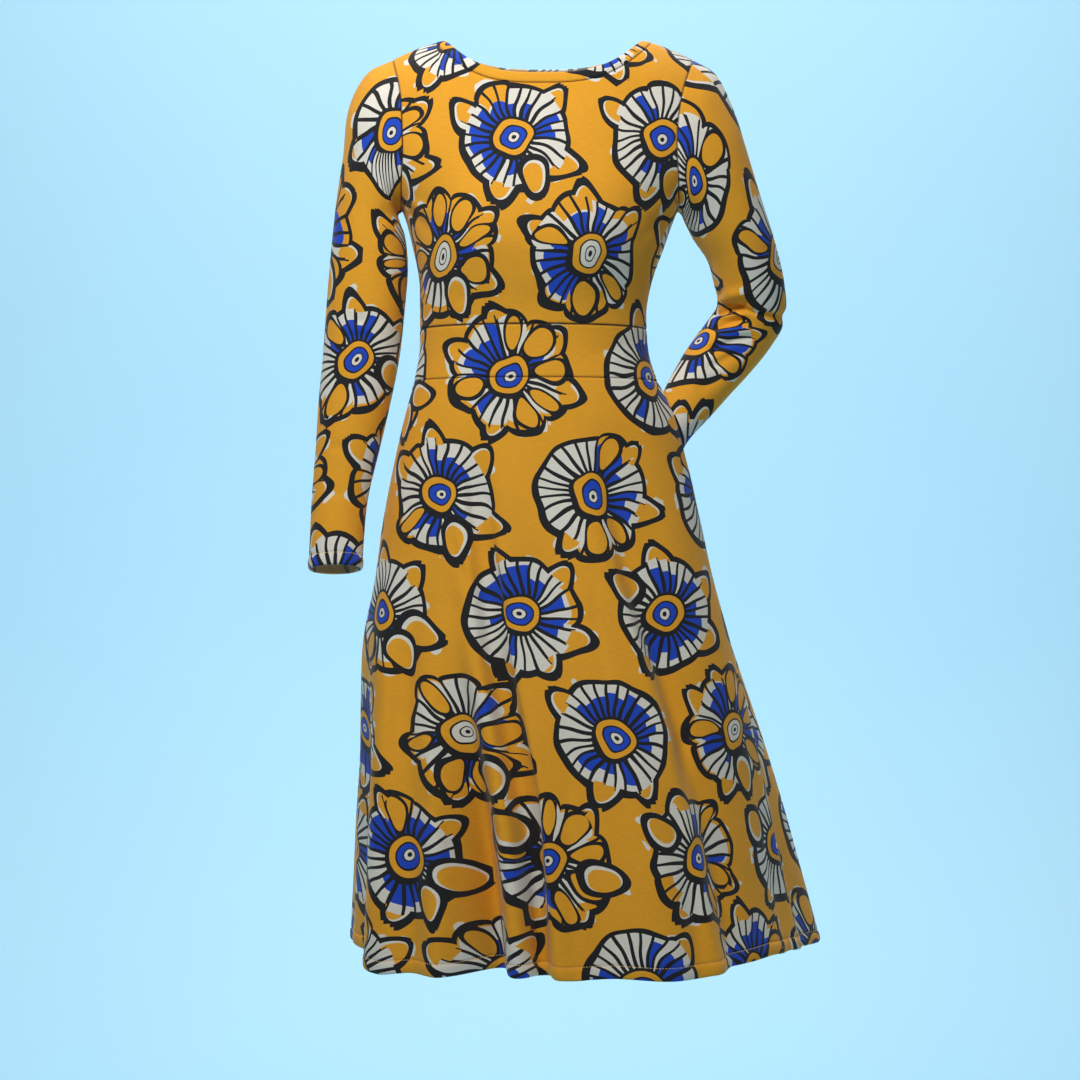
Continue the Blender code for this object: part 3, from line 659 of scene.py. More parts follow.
print("front of the hem at", round(skirt_point(0.0, 1.0).z, 3))

# %% [markdown]
# The skirt's rows are close together where the cloth turns sharply, at the seams, at the pocket's mouth
# and at the turned hem, and evenly spaced elsewhere. Even rows all the way would need many more points
# for the same sharp hem.

# %% Rows of the skirt
SKIRT_COLUMNS = 44
MOUTH_ROWS = 7
MOUTH_ROW_GROWTH = 1.5
SKIRT_ROW = 0.0041
HEM_ROWS_UP = (
    0.0, 0.0007, 0.0018, 0.0034, 0.0056, 0.0080, 0.0104, 0.0122, 0.0132, 0.0140, 0.0148, 0.0158, 0.0172,
)
SKIRT_LENGTH = SKIRT_SEAM_Z - HEM_SIDE_Z


def down_share(z):
    return (SKIRT_SEAM_Z - z) / SKIRT_LENGTH


mouth_height = MOUTH_TOP_Z - MOUTH_BOTTOM_Z
mouth_places = fine_places(MOUTH_ROWS, 5)
mouth_shares = [
    down_share(MOUTH_TOP_Z - mouth_height * (place / MOUTH_ROWS) ** MOUTH_ROW_GROWTH)
    for place in mouth_places
]
hem_start_z = HEM_SIDE_Z + HEM_ROWS_UP[-1]
plain_rows = round((MOUTH_BOTTOM_Z - hem_start_z) / SKIRT_ROW)
skirt_shares = [down_share(SKIRT_SEAM_Z - distance) for distance in (0.0, *CLOSE_TO_SEAM[:2])]
skirt_shares += mouth_shares
skirt_shares += [
    down_share(MOUTH_BOTTOM_Z + (hem_start_z - MOUTH_BOTTOM_Z) * i / plain_rows)
    for i in range(1, plain_rows + 1)
]
skirt_shares += [down_share(HEM_SIDE_Z + up) for up in reversed(HEM_ROWS_UP[:-1])]
skirt_places = fine_places(SKIRT_COLUMNS, 5, 0.0215, sewn_low=True, sewn_high=True)


def mouth_share(down):
    """How open the pocket's mouth is at this share of the skirt's length, from 0 to 1."""
    z = SKIRT_SEAM_Z + (HEM_SIDE_Z - SKIRT_SEAM_Z) * down
    t = (MOUTH_TOP_Z - z) / mouth_height
    if not 1e-6 < t < 1 - 1e-6:
        return 0.0
    return math.sin(math.pi * t**MOUTH_SKEW)


def skirt_angle(side, place, down):
    """The angle of one column. Near the pocket the columns draw back from its mouth."""
    t = place / SKIRT_COLUMNS
    open_now = mouth_share(down)
    if side == FRONT:
        return -math.pi / 2 + math.pi * t - math.radians(MOUTH_FRONT_DEG) * open_now * t**MOUTH_REACH
    return math.pi / 2 + math.pi * t + math.radians(MOUTH_BACK_DEG) * open_now * (1 - t) ** MOUTH_REACH


def skirt_rows(side):
    """The skirt's rows from the hem up. The front edge of the pocket's mouth stands out as a lip."""
    rows = []
    for down in skirt_shares:
        lip_now = MOUTH_LIP_OUT * mouth_share(down) if side == FRONT else 0.0
        row = []
        for place in skirt_places:
            lip = lip_now * (place / SKIRT_COLUMNS) ** MOUTH_LIP_NARROW
            row.append(skirt_point(skirt_angle(side, place, down), down, lip))
        rows.append(row)
    return rows[::-1]


skirt = {side: skirt_rows(side) for side in (FRONT, BACK)}
print("skirt grid:", len(skirt_shares), "rows of", len(skirt_places))

# %% [markdown]
# ## Sleeves and pocket
# A sleeve is a tube with one seam under the arm. Its outline in front is a table of rings, each with
# an outer and an inner point, and its first ring is the armhole itself. The right sleeve hangs
# straight. The left one bends at the elbow and its cuff goes into the pocket, whose bag hangs inside.

# %% Tubes
Ring = namedtuple("Ring", "along out_x out_z in_x in_z mid_y half_depth")
RIGHT_SLEEVE = (
    Ring(0.00, -0.176, -0.0136, -0.164, -0.194, 0.000, 0.052),
    Ring(0.05, -0.207, -0.030, -0.1685, -0.1965, 0.000, 0.053),
    Ring(0.11, -0.229, -0.071, -0.1695, -0.200, 0.000, 0.053),
    Ring(0.18, -0.236, -0.128, -0.1675, -0.207, 0.000, 0.052),
    Ring(0.27, -0.244, -0.180, -0.1615, -0.226, 0.000, 0.050),
    Ring(0.36, -0.251, -0.246, -0.1585, -0.262, 0.000, 0.048),
    Ring(0.46, -0.256, -0.306, -0.1620, -0.310, -0.001, 0.046),
    Ring(0.56, -0.260, -0.366, -0.1680, -0.366, -0.003, 0.044),
    Ring(0.66, -0.265, -0.425, -0.1785, -0.422, -0.009, 0.041),
    Ring(0.76, -0.268, -0.484, -0.1915, -0.480, -0.018, 0.037),
    Ring(0.86, -0.2715, -0.542, -0.2045, -0.538, -0.029, 0.033),
    Ring(0.95, -0.273, -0.594, -0.2090, -0.592, -0.040, 0.031),
    Ring(1.00, -0.274, -0.622, -0.2100, -0.621, -0.046, 0.031),
)
LEFT_SLEEVE = (
    Ring(0.00, 0.180, -0.0136, 0.165, -0.194, 0.000, 0.052),
    Ring(0.05, 0.208, -0.031, 0.1685, -0.196, 0.002, 0.053),
    Ring(0.11, 0.229, -0.071, 0.1725, -0.201, 0.005, 0.053),
    Ring(0.17, 0.244, -0.112, 0.177, -0.210, 0.010, 0.052),
    Ring(0.24, 0.264, -0.170, 0.187, -0.228, 0.019, 0.049),
    Ring(0.32, 0.283, -0.222, 0.203, -0.250, 0.032, 0.047),
    Ring(0.40, 0.297, -0.272, 0.2115, -0.276, 0.047, 0.045),
    Ring(0.48, 0.300, -0.318, 0.2165, -0.300, 0.060, 0.043),
    Ring(0.55, 0.282, -0.352, 0.204, -0.321, 0.060, 0.040),
    Ring(0.63, 0.256, -0.384, 0.183, -0.349, 0.047, 0.037),
    Ring(0.71, 0.231, -0.411, 0.166, -0.376, 0.033, 0.033),
    Ring(0.79, 0.205, -0.440, 0.149, -0.408, 0.020, 0.029),
    Ring(0.87, 0.177, -0.471, 0.130, -0.445, 0.010, 0.027),
    Ring(0.94, 0.160, -0.508, 0.110, -0.486, 0.004, 0.027),
    Ring(1.00, 0.147, -0.543, 0.094, -0.522, 0.000, 0.027),
)
POCKET_BAG = (
    Ring(0.00, 0.190, -0.552, 0.145, -0.401, 0.012, 0.040),
    Ring(0.12, 0.186, -0.560, 0.134, -0.406, 0.010, 0.042),
    Ring(0.30, 0.178, -0.580, 0.104, -0.440, 0.006, 0.042),
    Ring(0.50, 0.166, -0.606, 0.074, -0.506, 0.002, 0.042),
    Ring(0.70, 0.150, -0.632, 0.058, -0.574, 0.000, 0.034),
    Ring(0.86, 0.134, -0.648, 0.060, -0.622, 0.000, 0.022),
    Ring(1.00, 0.120, -0.662, 0.066, -0.650, 0.000, 0.000),
)
LOOK_ALONG = 0.02
SLEEVE_LENGTH = 0.60
SLEEVE_ROWS = 290
SLEEVE_FADE = 0.30
BAG_ROWS = 28
BAG_FADE = 0.35


print("rings in a sleeve's table:", len(LEFT_SLEEVE))

# %% [markdown]
# A tube is drawn ring by ring along its table. Each ring is an ellipse between its outer and its inner
# point, and it faces along the tube, so the sleeve keeps its width round the bend of the elbow. A curve
# with a bevel would make an even tube, but this one changes its section all the way down.

# %% A tube from its table


@lru_cache(maxsize=5000)
def ring_axis(table, along):
    """The outer and the inner point of a tube's ring, and its half depth."""
    along = min(max(along, 0.0), 1.0)
    read = {name: blend_along(table, "along", name, along) for name in Ring._fields[1:]}
    outer = Vector((read["out_x"], read["mid_y"], read["out_z"]))
    inner = Vector((read["in_x"], read["mid_y"], read["in_z"]))
    return outer, inner, read["half_depth"]


@lru_cache(maxsize=5000)
def ring_frame(table, along):
    """The middle of a tube's ring, its half span and its half depth, the last two with their directions."""
    outer, inner, half_depth = ring_axis(table, along)
    ahead = ring_axis(table, min(along + LOOK_ALONG, 1.0))
    behind = ring_axis(table, max(along - LOOK_ALONG, 0.0))
    run = (ahead[0] + ahead[1]) - (behind[0] + behind[1])
    across = (outer - inner) / 2
    forward = run.cross(across).normalized()
    if forward.y > 0:
        forward = -forward
    return (outer + inner) / 2, across, forward * half_depth


def loft_point(table, along, turn):
    """A point of a tube. `turn` is 0 on the outer outline, a quarter in front and a half on the inner."""
    middle, across, forward = ring_frame(table, along)
    angle = turn * 2 * math.pi
    return middle + across * math.cos(angle) + forward * math.sin(angle)


def tube_rows(table, first_ring, turns, alongs, fade):
    """Rings of a tube whose first ring is the given points and whose form eases into the table's."""
    misses = [start - loft_point(table, 0.0, turn) for start, turn in zip(first_ring, turns)]
    rows = []
    for along in alongs:
        keep = (1 - ease(along / fade)) if along < fade else 0.0
        rows.append([loft_point(table, along, turn) + miss * keep for turn, miss in zip(turns, misses)])
    return rows


print("elbow stands out in metres:", round(max(ring.out_x for ring in LEFT_SLEEVE), 3))

# %% [markdown]
# A set-in sleeve starts on the armhole's own points, so it meets the bodice without a gap, and eases
# into its table's shape on the way down. The pocket bag starts in the same way on the edge of the mouth,
# one wall behind the skirt, as a bag that is sewn into the side seam does.

# %% Sleeve and pocket rows


def sleeve_rows(table, hand):
    """The sleeve's rings, each walked from the armpit up the back, over the shoulder and down the front."""
    around = armhole_steps + [2 * ARMHOLE_STEPS - step for step in armhole_steps[-2:0:-1]]
    first_ring = []
    turns = []
    for step in around:
        side = BACK if step <= ARMHOLE_STEPS else FRONT
        x, z = armhole_point(step if step <= ARMHOLE_STEPS else 2 * ARMHOLE_STEPS - step)
        first_ring.append(on_body(side, hand * x, z))
        turns.append((step + ARMHOLE_STEPS) / (2 * ARMHOLE_STEPS))
    last_plain = 1 - HEM_ROWS_UP[-1] / SLEEVE_LENGTH - 0.002
    alongs = {i / SLEEVE_ROWS for i in range(SLEEVE_ROWS + 1) if i / SLEEVE_ROWS < last_plain}
    alongs |= {distance / SLEEVE_LENGTH for distance in CLOSE_TO_SEAM}
    alongs |= {1 - up / SLEEVE_LENGTH for up in HEM_ROWS_UP}
    return tube_rows(table, first_ring, turns, sorted(alongs), SLEEVE_FADE)


def pocket_rows():
    """The bag's rings, from the pocket's mouth down, each begun at the mouth's bottom by its front edge."""

    def behind(side, down):
        angle = skirt_angle(side, SKIRT_COLUMNS if side == FRONT else 0, down)
        lip = MOUTH_LIP_OUT * mouth_share(down) if side == FRONT else 0.0
        point = skirt_point(angle, down, lip)
        return point - skirt_outward(angle, point.z) * (WALL + SEAM_GAP)

    ring = [behind(FRONT, down) for down in reversed(mouth_shares)]
    ring += [behind(BACK, down) for down in mouth_shares[1:-1]]
    turns = [i / len(ring) for i in range(len(ring))]
    return tube_rows(POCKET_BAG, ring, turns, [i / BAG_ROWS for i in range(BAG_ROWS + 1)], BAG_FADE)


sleeves = {-1: sleeve_rows(RIGHT_SLEEVE, -1), 1: sleeve_rows(LEFT_SLEEVE, 1)}
bag = pocket_rows()
print("sleeve grid:", len(sleeves[1]), "rings of", len(sleeves[1][0]), "and bag", len(bag), "of", len(bag[0]))

# %% [markdown]
# ## The print
# Wax prints repeat one motif in a half drop: each row of flowers is moved along by half a repeat. Here
# the repeat is 180 mm across with a row every 139 mm, as on the dress. A flower could be painted on an
# image, but that would copy the cloth of one picture. Instead each flower is drawn by the shader from
# a few plain rules, a dot, rings, a wheel of petals and leaf-shaped buds, and no two come out the same.

# %% Where the flowers are
REPEAT_ACROSS = 0.180
PRINT_ROW = 0.139
FIRST_DOWN = 0.117
FIRST_ACROSS = -0.030
SHAKE_MM = 12.0
BUD_SHAKE = 0.5

Flower = namedtuple("Flower", "across down seed openness white_disc buds")
Bud = namedtuple("Bud", "angle_deg reach half_length half_width tilt_deg closed")
BUD_SPOTS = [
    Bud(103, 57, 25, 14, 10, 0),
    Bud(152, 62, 22, 14, -14, 0),
    Bud(-24, 62, 23, 15, 16, 0),
    Bud(-64, 56, 21, 14, -12, 1),
    Bud(36, 62, 19, 13, 12, 0),
    Bud(-112, 60, 20, 13, -10, 0),
]
MAY_BE_CLOSED = (1, 2, 3)
BODY_CLOTH, RIGHT_SLEEVE_CLOTH, LEFT_SLEEVE_CLOTH = 1, 2, 3
OPEN_FLOWERS = {
    BODY_CLOTH: {(1, -1), (2, 0), (5, -1), (5, 1), (6, 0), (0, -2), (4, 2), (3, -2)},
    RIGHT_SLEEVE_CLOTH: {(1, -1), (1, 0), (3, 0), (2, 1)},
    LEFT_SLEEVE_CLOTH: {(0, -1), (3, -1), (2, 1)},
}
WHITE_DISCS = {
    BODY_CLOTH: {(1, -1), (1, 0), (5, -1), (5, 1), (0, -2), (3, -2)},
    RIGHT_SLEEVE_CLOTH: {(2, 1)},
    LEFT_SLEEVE_CLOTH: {(1, 0), (0, -1)},
}


print("flowers across the cloth every", REPEAT_ACROSS * 1000, "mm")

# %% [markdown]
# A bud that reached past the middle between two flowers would be cut off there, because each point of the
# cloth draws only its nearest flower. So every bud is drawn back until its outline clears that line.

# %% Room for the buds
NEIGHBOURS = [(180, 0), (-180, 0), (90, 139), (-90, 139), (90, -139), (-90, -139)]
CLEAR_MM = 7.5
OUT_OF_SIGHT_MM = 900.0


def reach_that_fits(bud):
    """The bud's reach, cut back until its outline stays on its own side of every neighbouring flower."""
    angle, lean = math.radians(bud.angle_deg), math.radians(bud.angle_deg + bud.tilt_deg)
    reach = bud.reach
    for x, y in NEIGHBOURS:
        far = math.hypot(x, y)
        nx, ny = x / far, y / far
        along = bud.half_length * (math.cos(lean) * nx + math.sin(lean) * ny)
        beside = bud.half_width * (math.cos(lean) * ny - math.sin(lean) * nx)
        toward = math.cos(angle) * nx + math.sin(angle) * ny
        if toward > 0.1:
            reach = min(reach, (far / 2 - CLEAR_MM - math.hypot(along, beside)) / toward)
    return reach


print("neighbours round a flower:", len(NEIGHBOURS))

# %% [markdown]
# Flowers of a wax print are cut by hand, so each one differs. Every flower here has chance values of its
# own, from a seed that depends only on its row and column, so the cloth comes out the same each time.

# %% Flowers in a half drop


def flower(row, column, across, down, cloth_seed):
    """One flower of the print, with its own seed, openness and buds."""
    chance = random.Random(cloth_seed * 10007 + row * 101 + column * 7 + 5000)
    openness = 0.95 if (row, column) in OPEN_FLOWERS[cloth_seed] else chance.uniform(0.0, 0.4)
    buds = []
    for spot in BUD_SPOTS:
        shown = chance.random() < 0.8
        bud = Bud(
            spot.angle_deg + chance.uniform(-9, 9),
            spot.reach + chance.uniform(-3, 4),
            spot.half_length * chance.uniform(0.85, 1.1),
            spot.half_width * chance.uniform(0.85, 1.15),
            spot.tilt_deg + chance.uniform(-12, 12),
            spot.closed if chance.random() < 0.8 else 1 - spot.closed,
        )
        buds.append(bud._replace(reach=reach_that_fits(bud) if shown else OUT_OF_SIGHT_MM))
    seed = float(chance.randint(1, 400))
    return Flower(across, down, seed, openness, float((row, column) in WHITE_DISCS[cloth_seed]), buds)


def half_drop(rows, columns, cloth_seed, first_across=FIRST_ACROSS, first_down=FIRST_DOWN):
    """The flowers of one piece of cloth."""
    flowers = []
    for row in rows:
        shift = REPEAT_ACROSS / 2 if row % 2 else 0.0
        for column in columns:
            across = first_across + shift + REPEAT_ACROSS * column
            flowers.append(flower(row, column, across, first_down + PRINT_ROW * row, cloth_seed))
    return flowers


body_flowers = half_drop(range(-2, 9), range(-5, 5), BODY_CLOTH)
sleeve_span = (range(-2, 6), range(-3, 3))
right_sleeve_flowers = half_drop(*sleeve_span, RIGHT_SLEEVE_CLOTH, first_across=-0.005, first_down=0.012)
left_sleeve_flowers = half_drop(*sleeve_span, LEFT_SLEEVE_CLOTH, first_across=-0.035, first_down=0.037)
print("flowers on the body's cloth:", len(body_flowers))

# %% [markdown]
# Each point of the cloth knows where it lies on the flat cloth, in metres across and down. For the
# drawing it also gets its place as seen from the middle of the nearest flower, and from each of that
# flower's buds, turned and scaled so that the bud is a circle of radius one. These are stored at the
# corners of each face, so that nothing is mixed between two flowers.

# %% Print places at the corners of the faces
FACES_AT_ONCE = 20000


def nearest_flower(corner_flat, flowers):
    """For each face, the number of the flower nearest its middle."""
    middles = corner_flat.mean(axis=1)
    centres = np.array([(f.across, f.down) for f in flowers])
    nearest = np.empty(len(middles), int)
    for start in range(0, len(middles), FACES_AT_ONCE):
        part = middles[start : start + FACES_AT_ONCE]
        away = ((part[:, None, :] - centres[None, :, :]) ** 2).sum(axis=2)
        nearest[start : start + FACES_AT_ONCE] = away.argmin(axis=1)
    return nearest


def print_attributes(corner_flat, flowers):
    """Every attribute that the print needs, one row for each corner of each face, in millimetres."""
    nearest = nearest_flower(corner_flat, flowers)
    corners_each = corner_flat.shape[1]
    centre = np.array([(f.across, f.down) for f in flowers])[nearest][:, None, :]
    local = (corner_flat - centre) * 1000.0
    x, y = local[..., 0], -local[..., 1]
    zero = np.zeros_like(x)
    values = {"flower": np.stack([x - SHAKE_MM / 2, y - SHAKE_MM / 2, zero], axis=-1)}
    form = np.array([(f.openness, f.white_disc, f.seed) for f in flowers])[nearest]
    values["flower_form"] = np.repeat(form[:, None, :], corners_each, axis=1)
    closed = np.array([[f.buds[number].closed for number in MAY_BE_CLOSED] for f in flowers], float)[nearest]
    values["buds_closed"] = np.repeat(closed[:, None, :], corners_each, axis=1)
    for number in range(len(BUD_SPOTS)):
        rows = []
        for f in flowers:
            bud = f.buds[number]
            angle = math.radians(bud.angle_deg)
            lean = angle + math.radians(bud.tilt_deg)
            middle = (bud.reach * math.cos(angle), bud.reach * math.sin(angle))
            rows.append((*middle, math.cos(lean), math.sin(lean), bud.half_length, bud.half_width))
        cx, cy, along_x, along_y, length, width = (col[:, None] for col in np.array(rows)[nearest].T)
        along = ((x - cx) * along_x + (y - cy) * along_y) / length
        beside = ((y - cy) * along_x - (x - cx) * along_y) / width
        values[f"bud_{number}"] = np.stack([along - BUD_SHAKE / 2, beside - BUD_SHAKE / 2, zero], axis=-1)
    return values


print("buds round a flower:", len(BUD_SPOTS))

# %% [markdown]
# ## Making a piece of cloth
# A piece is a grid of points with an outer and an inner skin, closed round its edges. Beside a seam the
# cloth rolls in by a millimetre, and painted shade darkens its colour there, so the seam shows as a fine
# dark line. A hem is turned up and stitched, so it is thicker, with a groove at the stitching and a round
# edge below it. A mesh modifier could give the thickness, but making both skins here lets two pieces share a mitred
# seam.

# %% Helpers for grids of points
SEAM_ROLL = 0.0034
SEAM_DIP = 0.0011
# Painted shade along the seams: within this reach of a sewn edge the colour is darkened towards black, standing in for
# the shade in the seam's groove.
PAINTED_SEAM_SHADE_REACH = 0.0014
PAINTED_SEAM_SHADES = {
    "bodice": {"first": 1.0, "last": 0.3},
    "waistband": {"first": 0.35, "last": 1.0},
    "skirt": {"last": 0.35},
    "neckband": {"first": 0.45},
}
OTHER_PAINTED_SEAM_SHADE = 0.5
PAINTED_SEAM_SHADE_SPREAD = 1.7
CREASE_LIMIT = 0.15
DRAW_BACK = 0.6


def unit(vectors):
    return vectors / np.maximum(np.linalg.norm(vectors, axis=-1, keepdims=True), 1e-12)


def grid_normals(points, closed):
    """The direction square to the cloth at each point of the grid."""
    if closed:
        around = np.roll(points, -1, axis=1) - np.roll(points, 1, axis=1)
    else:
        around = np.gradient(points, axis=1)
    return unit(np.cross(around, np.gradient(points, axis=0)))


def walked(points, axis):
    """The distance walked along the grid from its first row or column."""
    steps = np.linalg.norm(np.diff(points, axis=axis), axis=2)
    start = np.zeros_like(points[:1, :, 0] if axis == 0 else points[:, :1, 0])
    return np.concatenate([start, np.cumsum(steps, axis=axis)], axis=axis)


def smooth_step(values, low, high):
    t = np.clip((values - low) / (high - low), 0.0, 1.0)
    return t * t * (3 - 2 * t)


def edge_distances(points, sewn, closed):
    """How far each point is from each sewn edge of its piece, walked on the cloth."""
    down, over = walked(points, 0), walked(points, 1)
    distances = {}
    if "first" in sewn:
        distances["first"] = down
    if "last" in sewn:
        distances["last"] = down[-1:] - down
    if "left" in sewn:
        distances["left"] = over
    if "right" in sewn:
        distances["right"] = over[:, -1:] - over
    if "joined" in sewn:
        closing = np.linalg.norm(points[:, :1] - points[:, -1:], axis=2)
        distances["joined"] = np.minimum(over, over[:, -1:] + closing - over)
    return distances


def seam_distance(points, sewn, closed):
    return np.minimum.reduce(list(edge_distances(points, sewn, closed).values()))


print("seams roll in over", SEAM_ROLL * 1000, "mm")

# %% [markdown]
# ## Creases
# The large folds are in the table of folds. The smaller ones are put in where the photograph shows
# them, at the bent elbow, beside the armpits, under the waist and between the big folds. Each is
# a soft trough or ridge along a short line on the flat cloth, and its two flanks may differ, because a
# real crease is steep on one side. Cloth simulation would give other folds than these.

# %% Creases on the flat cloth
Crease = namedtuple("Crease", "height left right fade_in fade_out points")


def crease_height(flat, crease):
    """The height that one crease adds at each point, in metres. Heights and widths are in millimetres."""
    points = np.array(crease.points) / 1000.0
    lengths = np.linalg.norm(np.diff(points, axis=0), axis=1)
    total = lengths.sum()
    nearest = np.full(flat.shape[:2], 9.0)
    along = np.zeros(flat.shape[:2])
    beside = np.zeros(flat.shape[:2])
    walked_so_far = 0.0
    for start, end, length in zip(points, points[1:], lengths):
        way = (end - start) / length
        offset = flat - start
        t = np.clip(offset @ way, 0.0, length)
        away = offset - t[..., None] * way
        distance = np.linalg.norm(away, axis=2)
        closer = distance < nearest
        nearest = np.where(closer, distance, nearest)
        along = np.where(closer, (walked_so_far + t) / total, along)
        beside = np.where(closer, np.sign(offset[..., 0] * way[1] - offset[..., 1] * way[0]), beside)
        walked_so_far += length
    width = np.where(beside > 0, crease.left, crease.right) / 1000.0
    taper = smooth_step(along, 0.0, max(crease.fade_in, 0.001)) if crease.fade_in else 1.0
    taper = taper * (1 - smooth_step(along, 1 - crease.fade_out, 1.0)) if crease.fade_out else taper
    return crease.height / 1000.0 * taper * np.exp(-((nearest / width) ** 2))


def seen_in_photo(points, stand_out):
    """Turns places measured across and down in the camera's frame into millimetres on the dress itself."""
    scale = 1.0 - stand_out / EYE_DISTANCE
    eye_down = -EYE_LEVEL * 1000
    return [(across * scale, eye_down + (down - eye_down) * scale) for across, down in points]


print("a crease is", Crease._fields)

# %% [markdown]
# The table lists every small crease. Its places are millimetres across from the middle and down from the
# shoulder line, as seen from the front, or straight through from the front for the back of the dress. A
# height below nought is a trough and one above it is a ridge. Left and right are the widths of its flanks.

# %% Table of creases
SKIRT_MAIN = seen_in_photo(
    [(-83, 438), (-71, 502), (-64, 600), (-54, 653), (-47, 680), (-44, 726), (-37, 773), (-24, 840),
     (-12, 900), (0, 996), (5, 1112)], 0.15)
SKIRT_KNIFE = seen_in_photo([(-31, 770), (-22, 850), (-11, 905), (-3, 996), (3, 1112)], 0.17)
SKIRT_SECOND = seen_in_photo(
    [(70, 444), (92, 556), (101, 604), (108, 629), (115, 653), (130, 690), (150, 744), (176, 828),
     (180, 936)], 0.13)
SKIRT_SECOND_LOW = seen_in_photo([(180, 936), (184, 1020), (190, 1100)], 0.15)
SKIRT_SLIGHT = seen_in_photo([(30, 820), (31, 900), (38, 1000), (44, 1100)], 0.16)
SKIRT_LEFT = seen_in_photo([(-118, 520), (-140, 640), (-165, 780), (-186, 900), (-200, 1100)], 0.12)
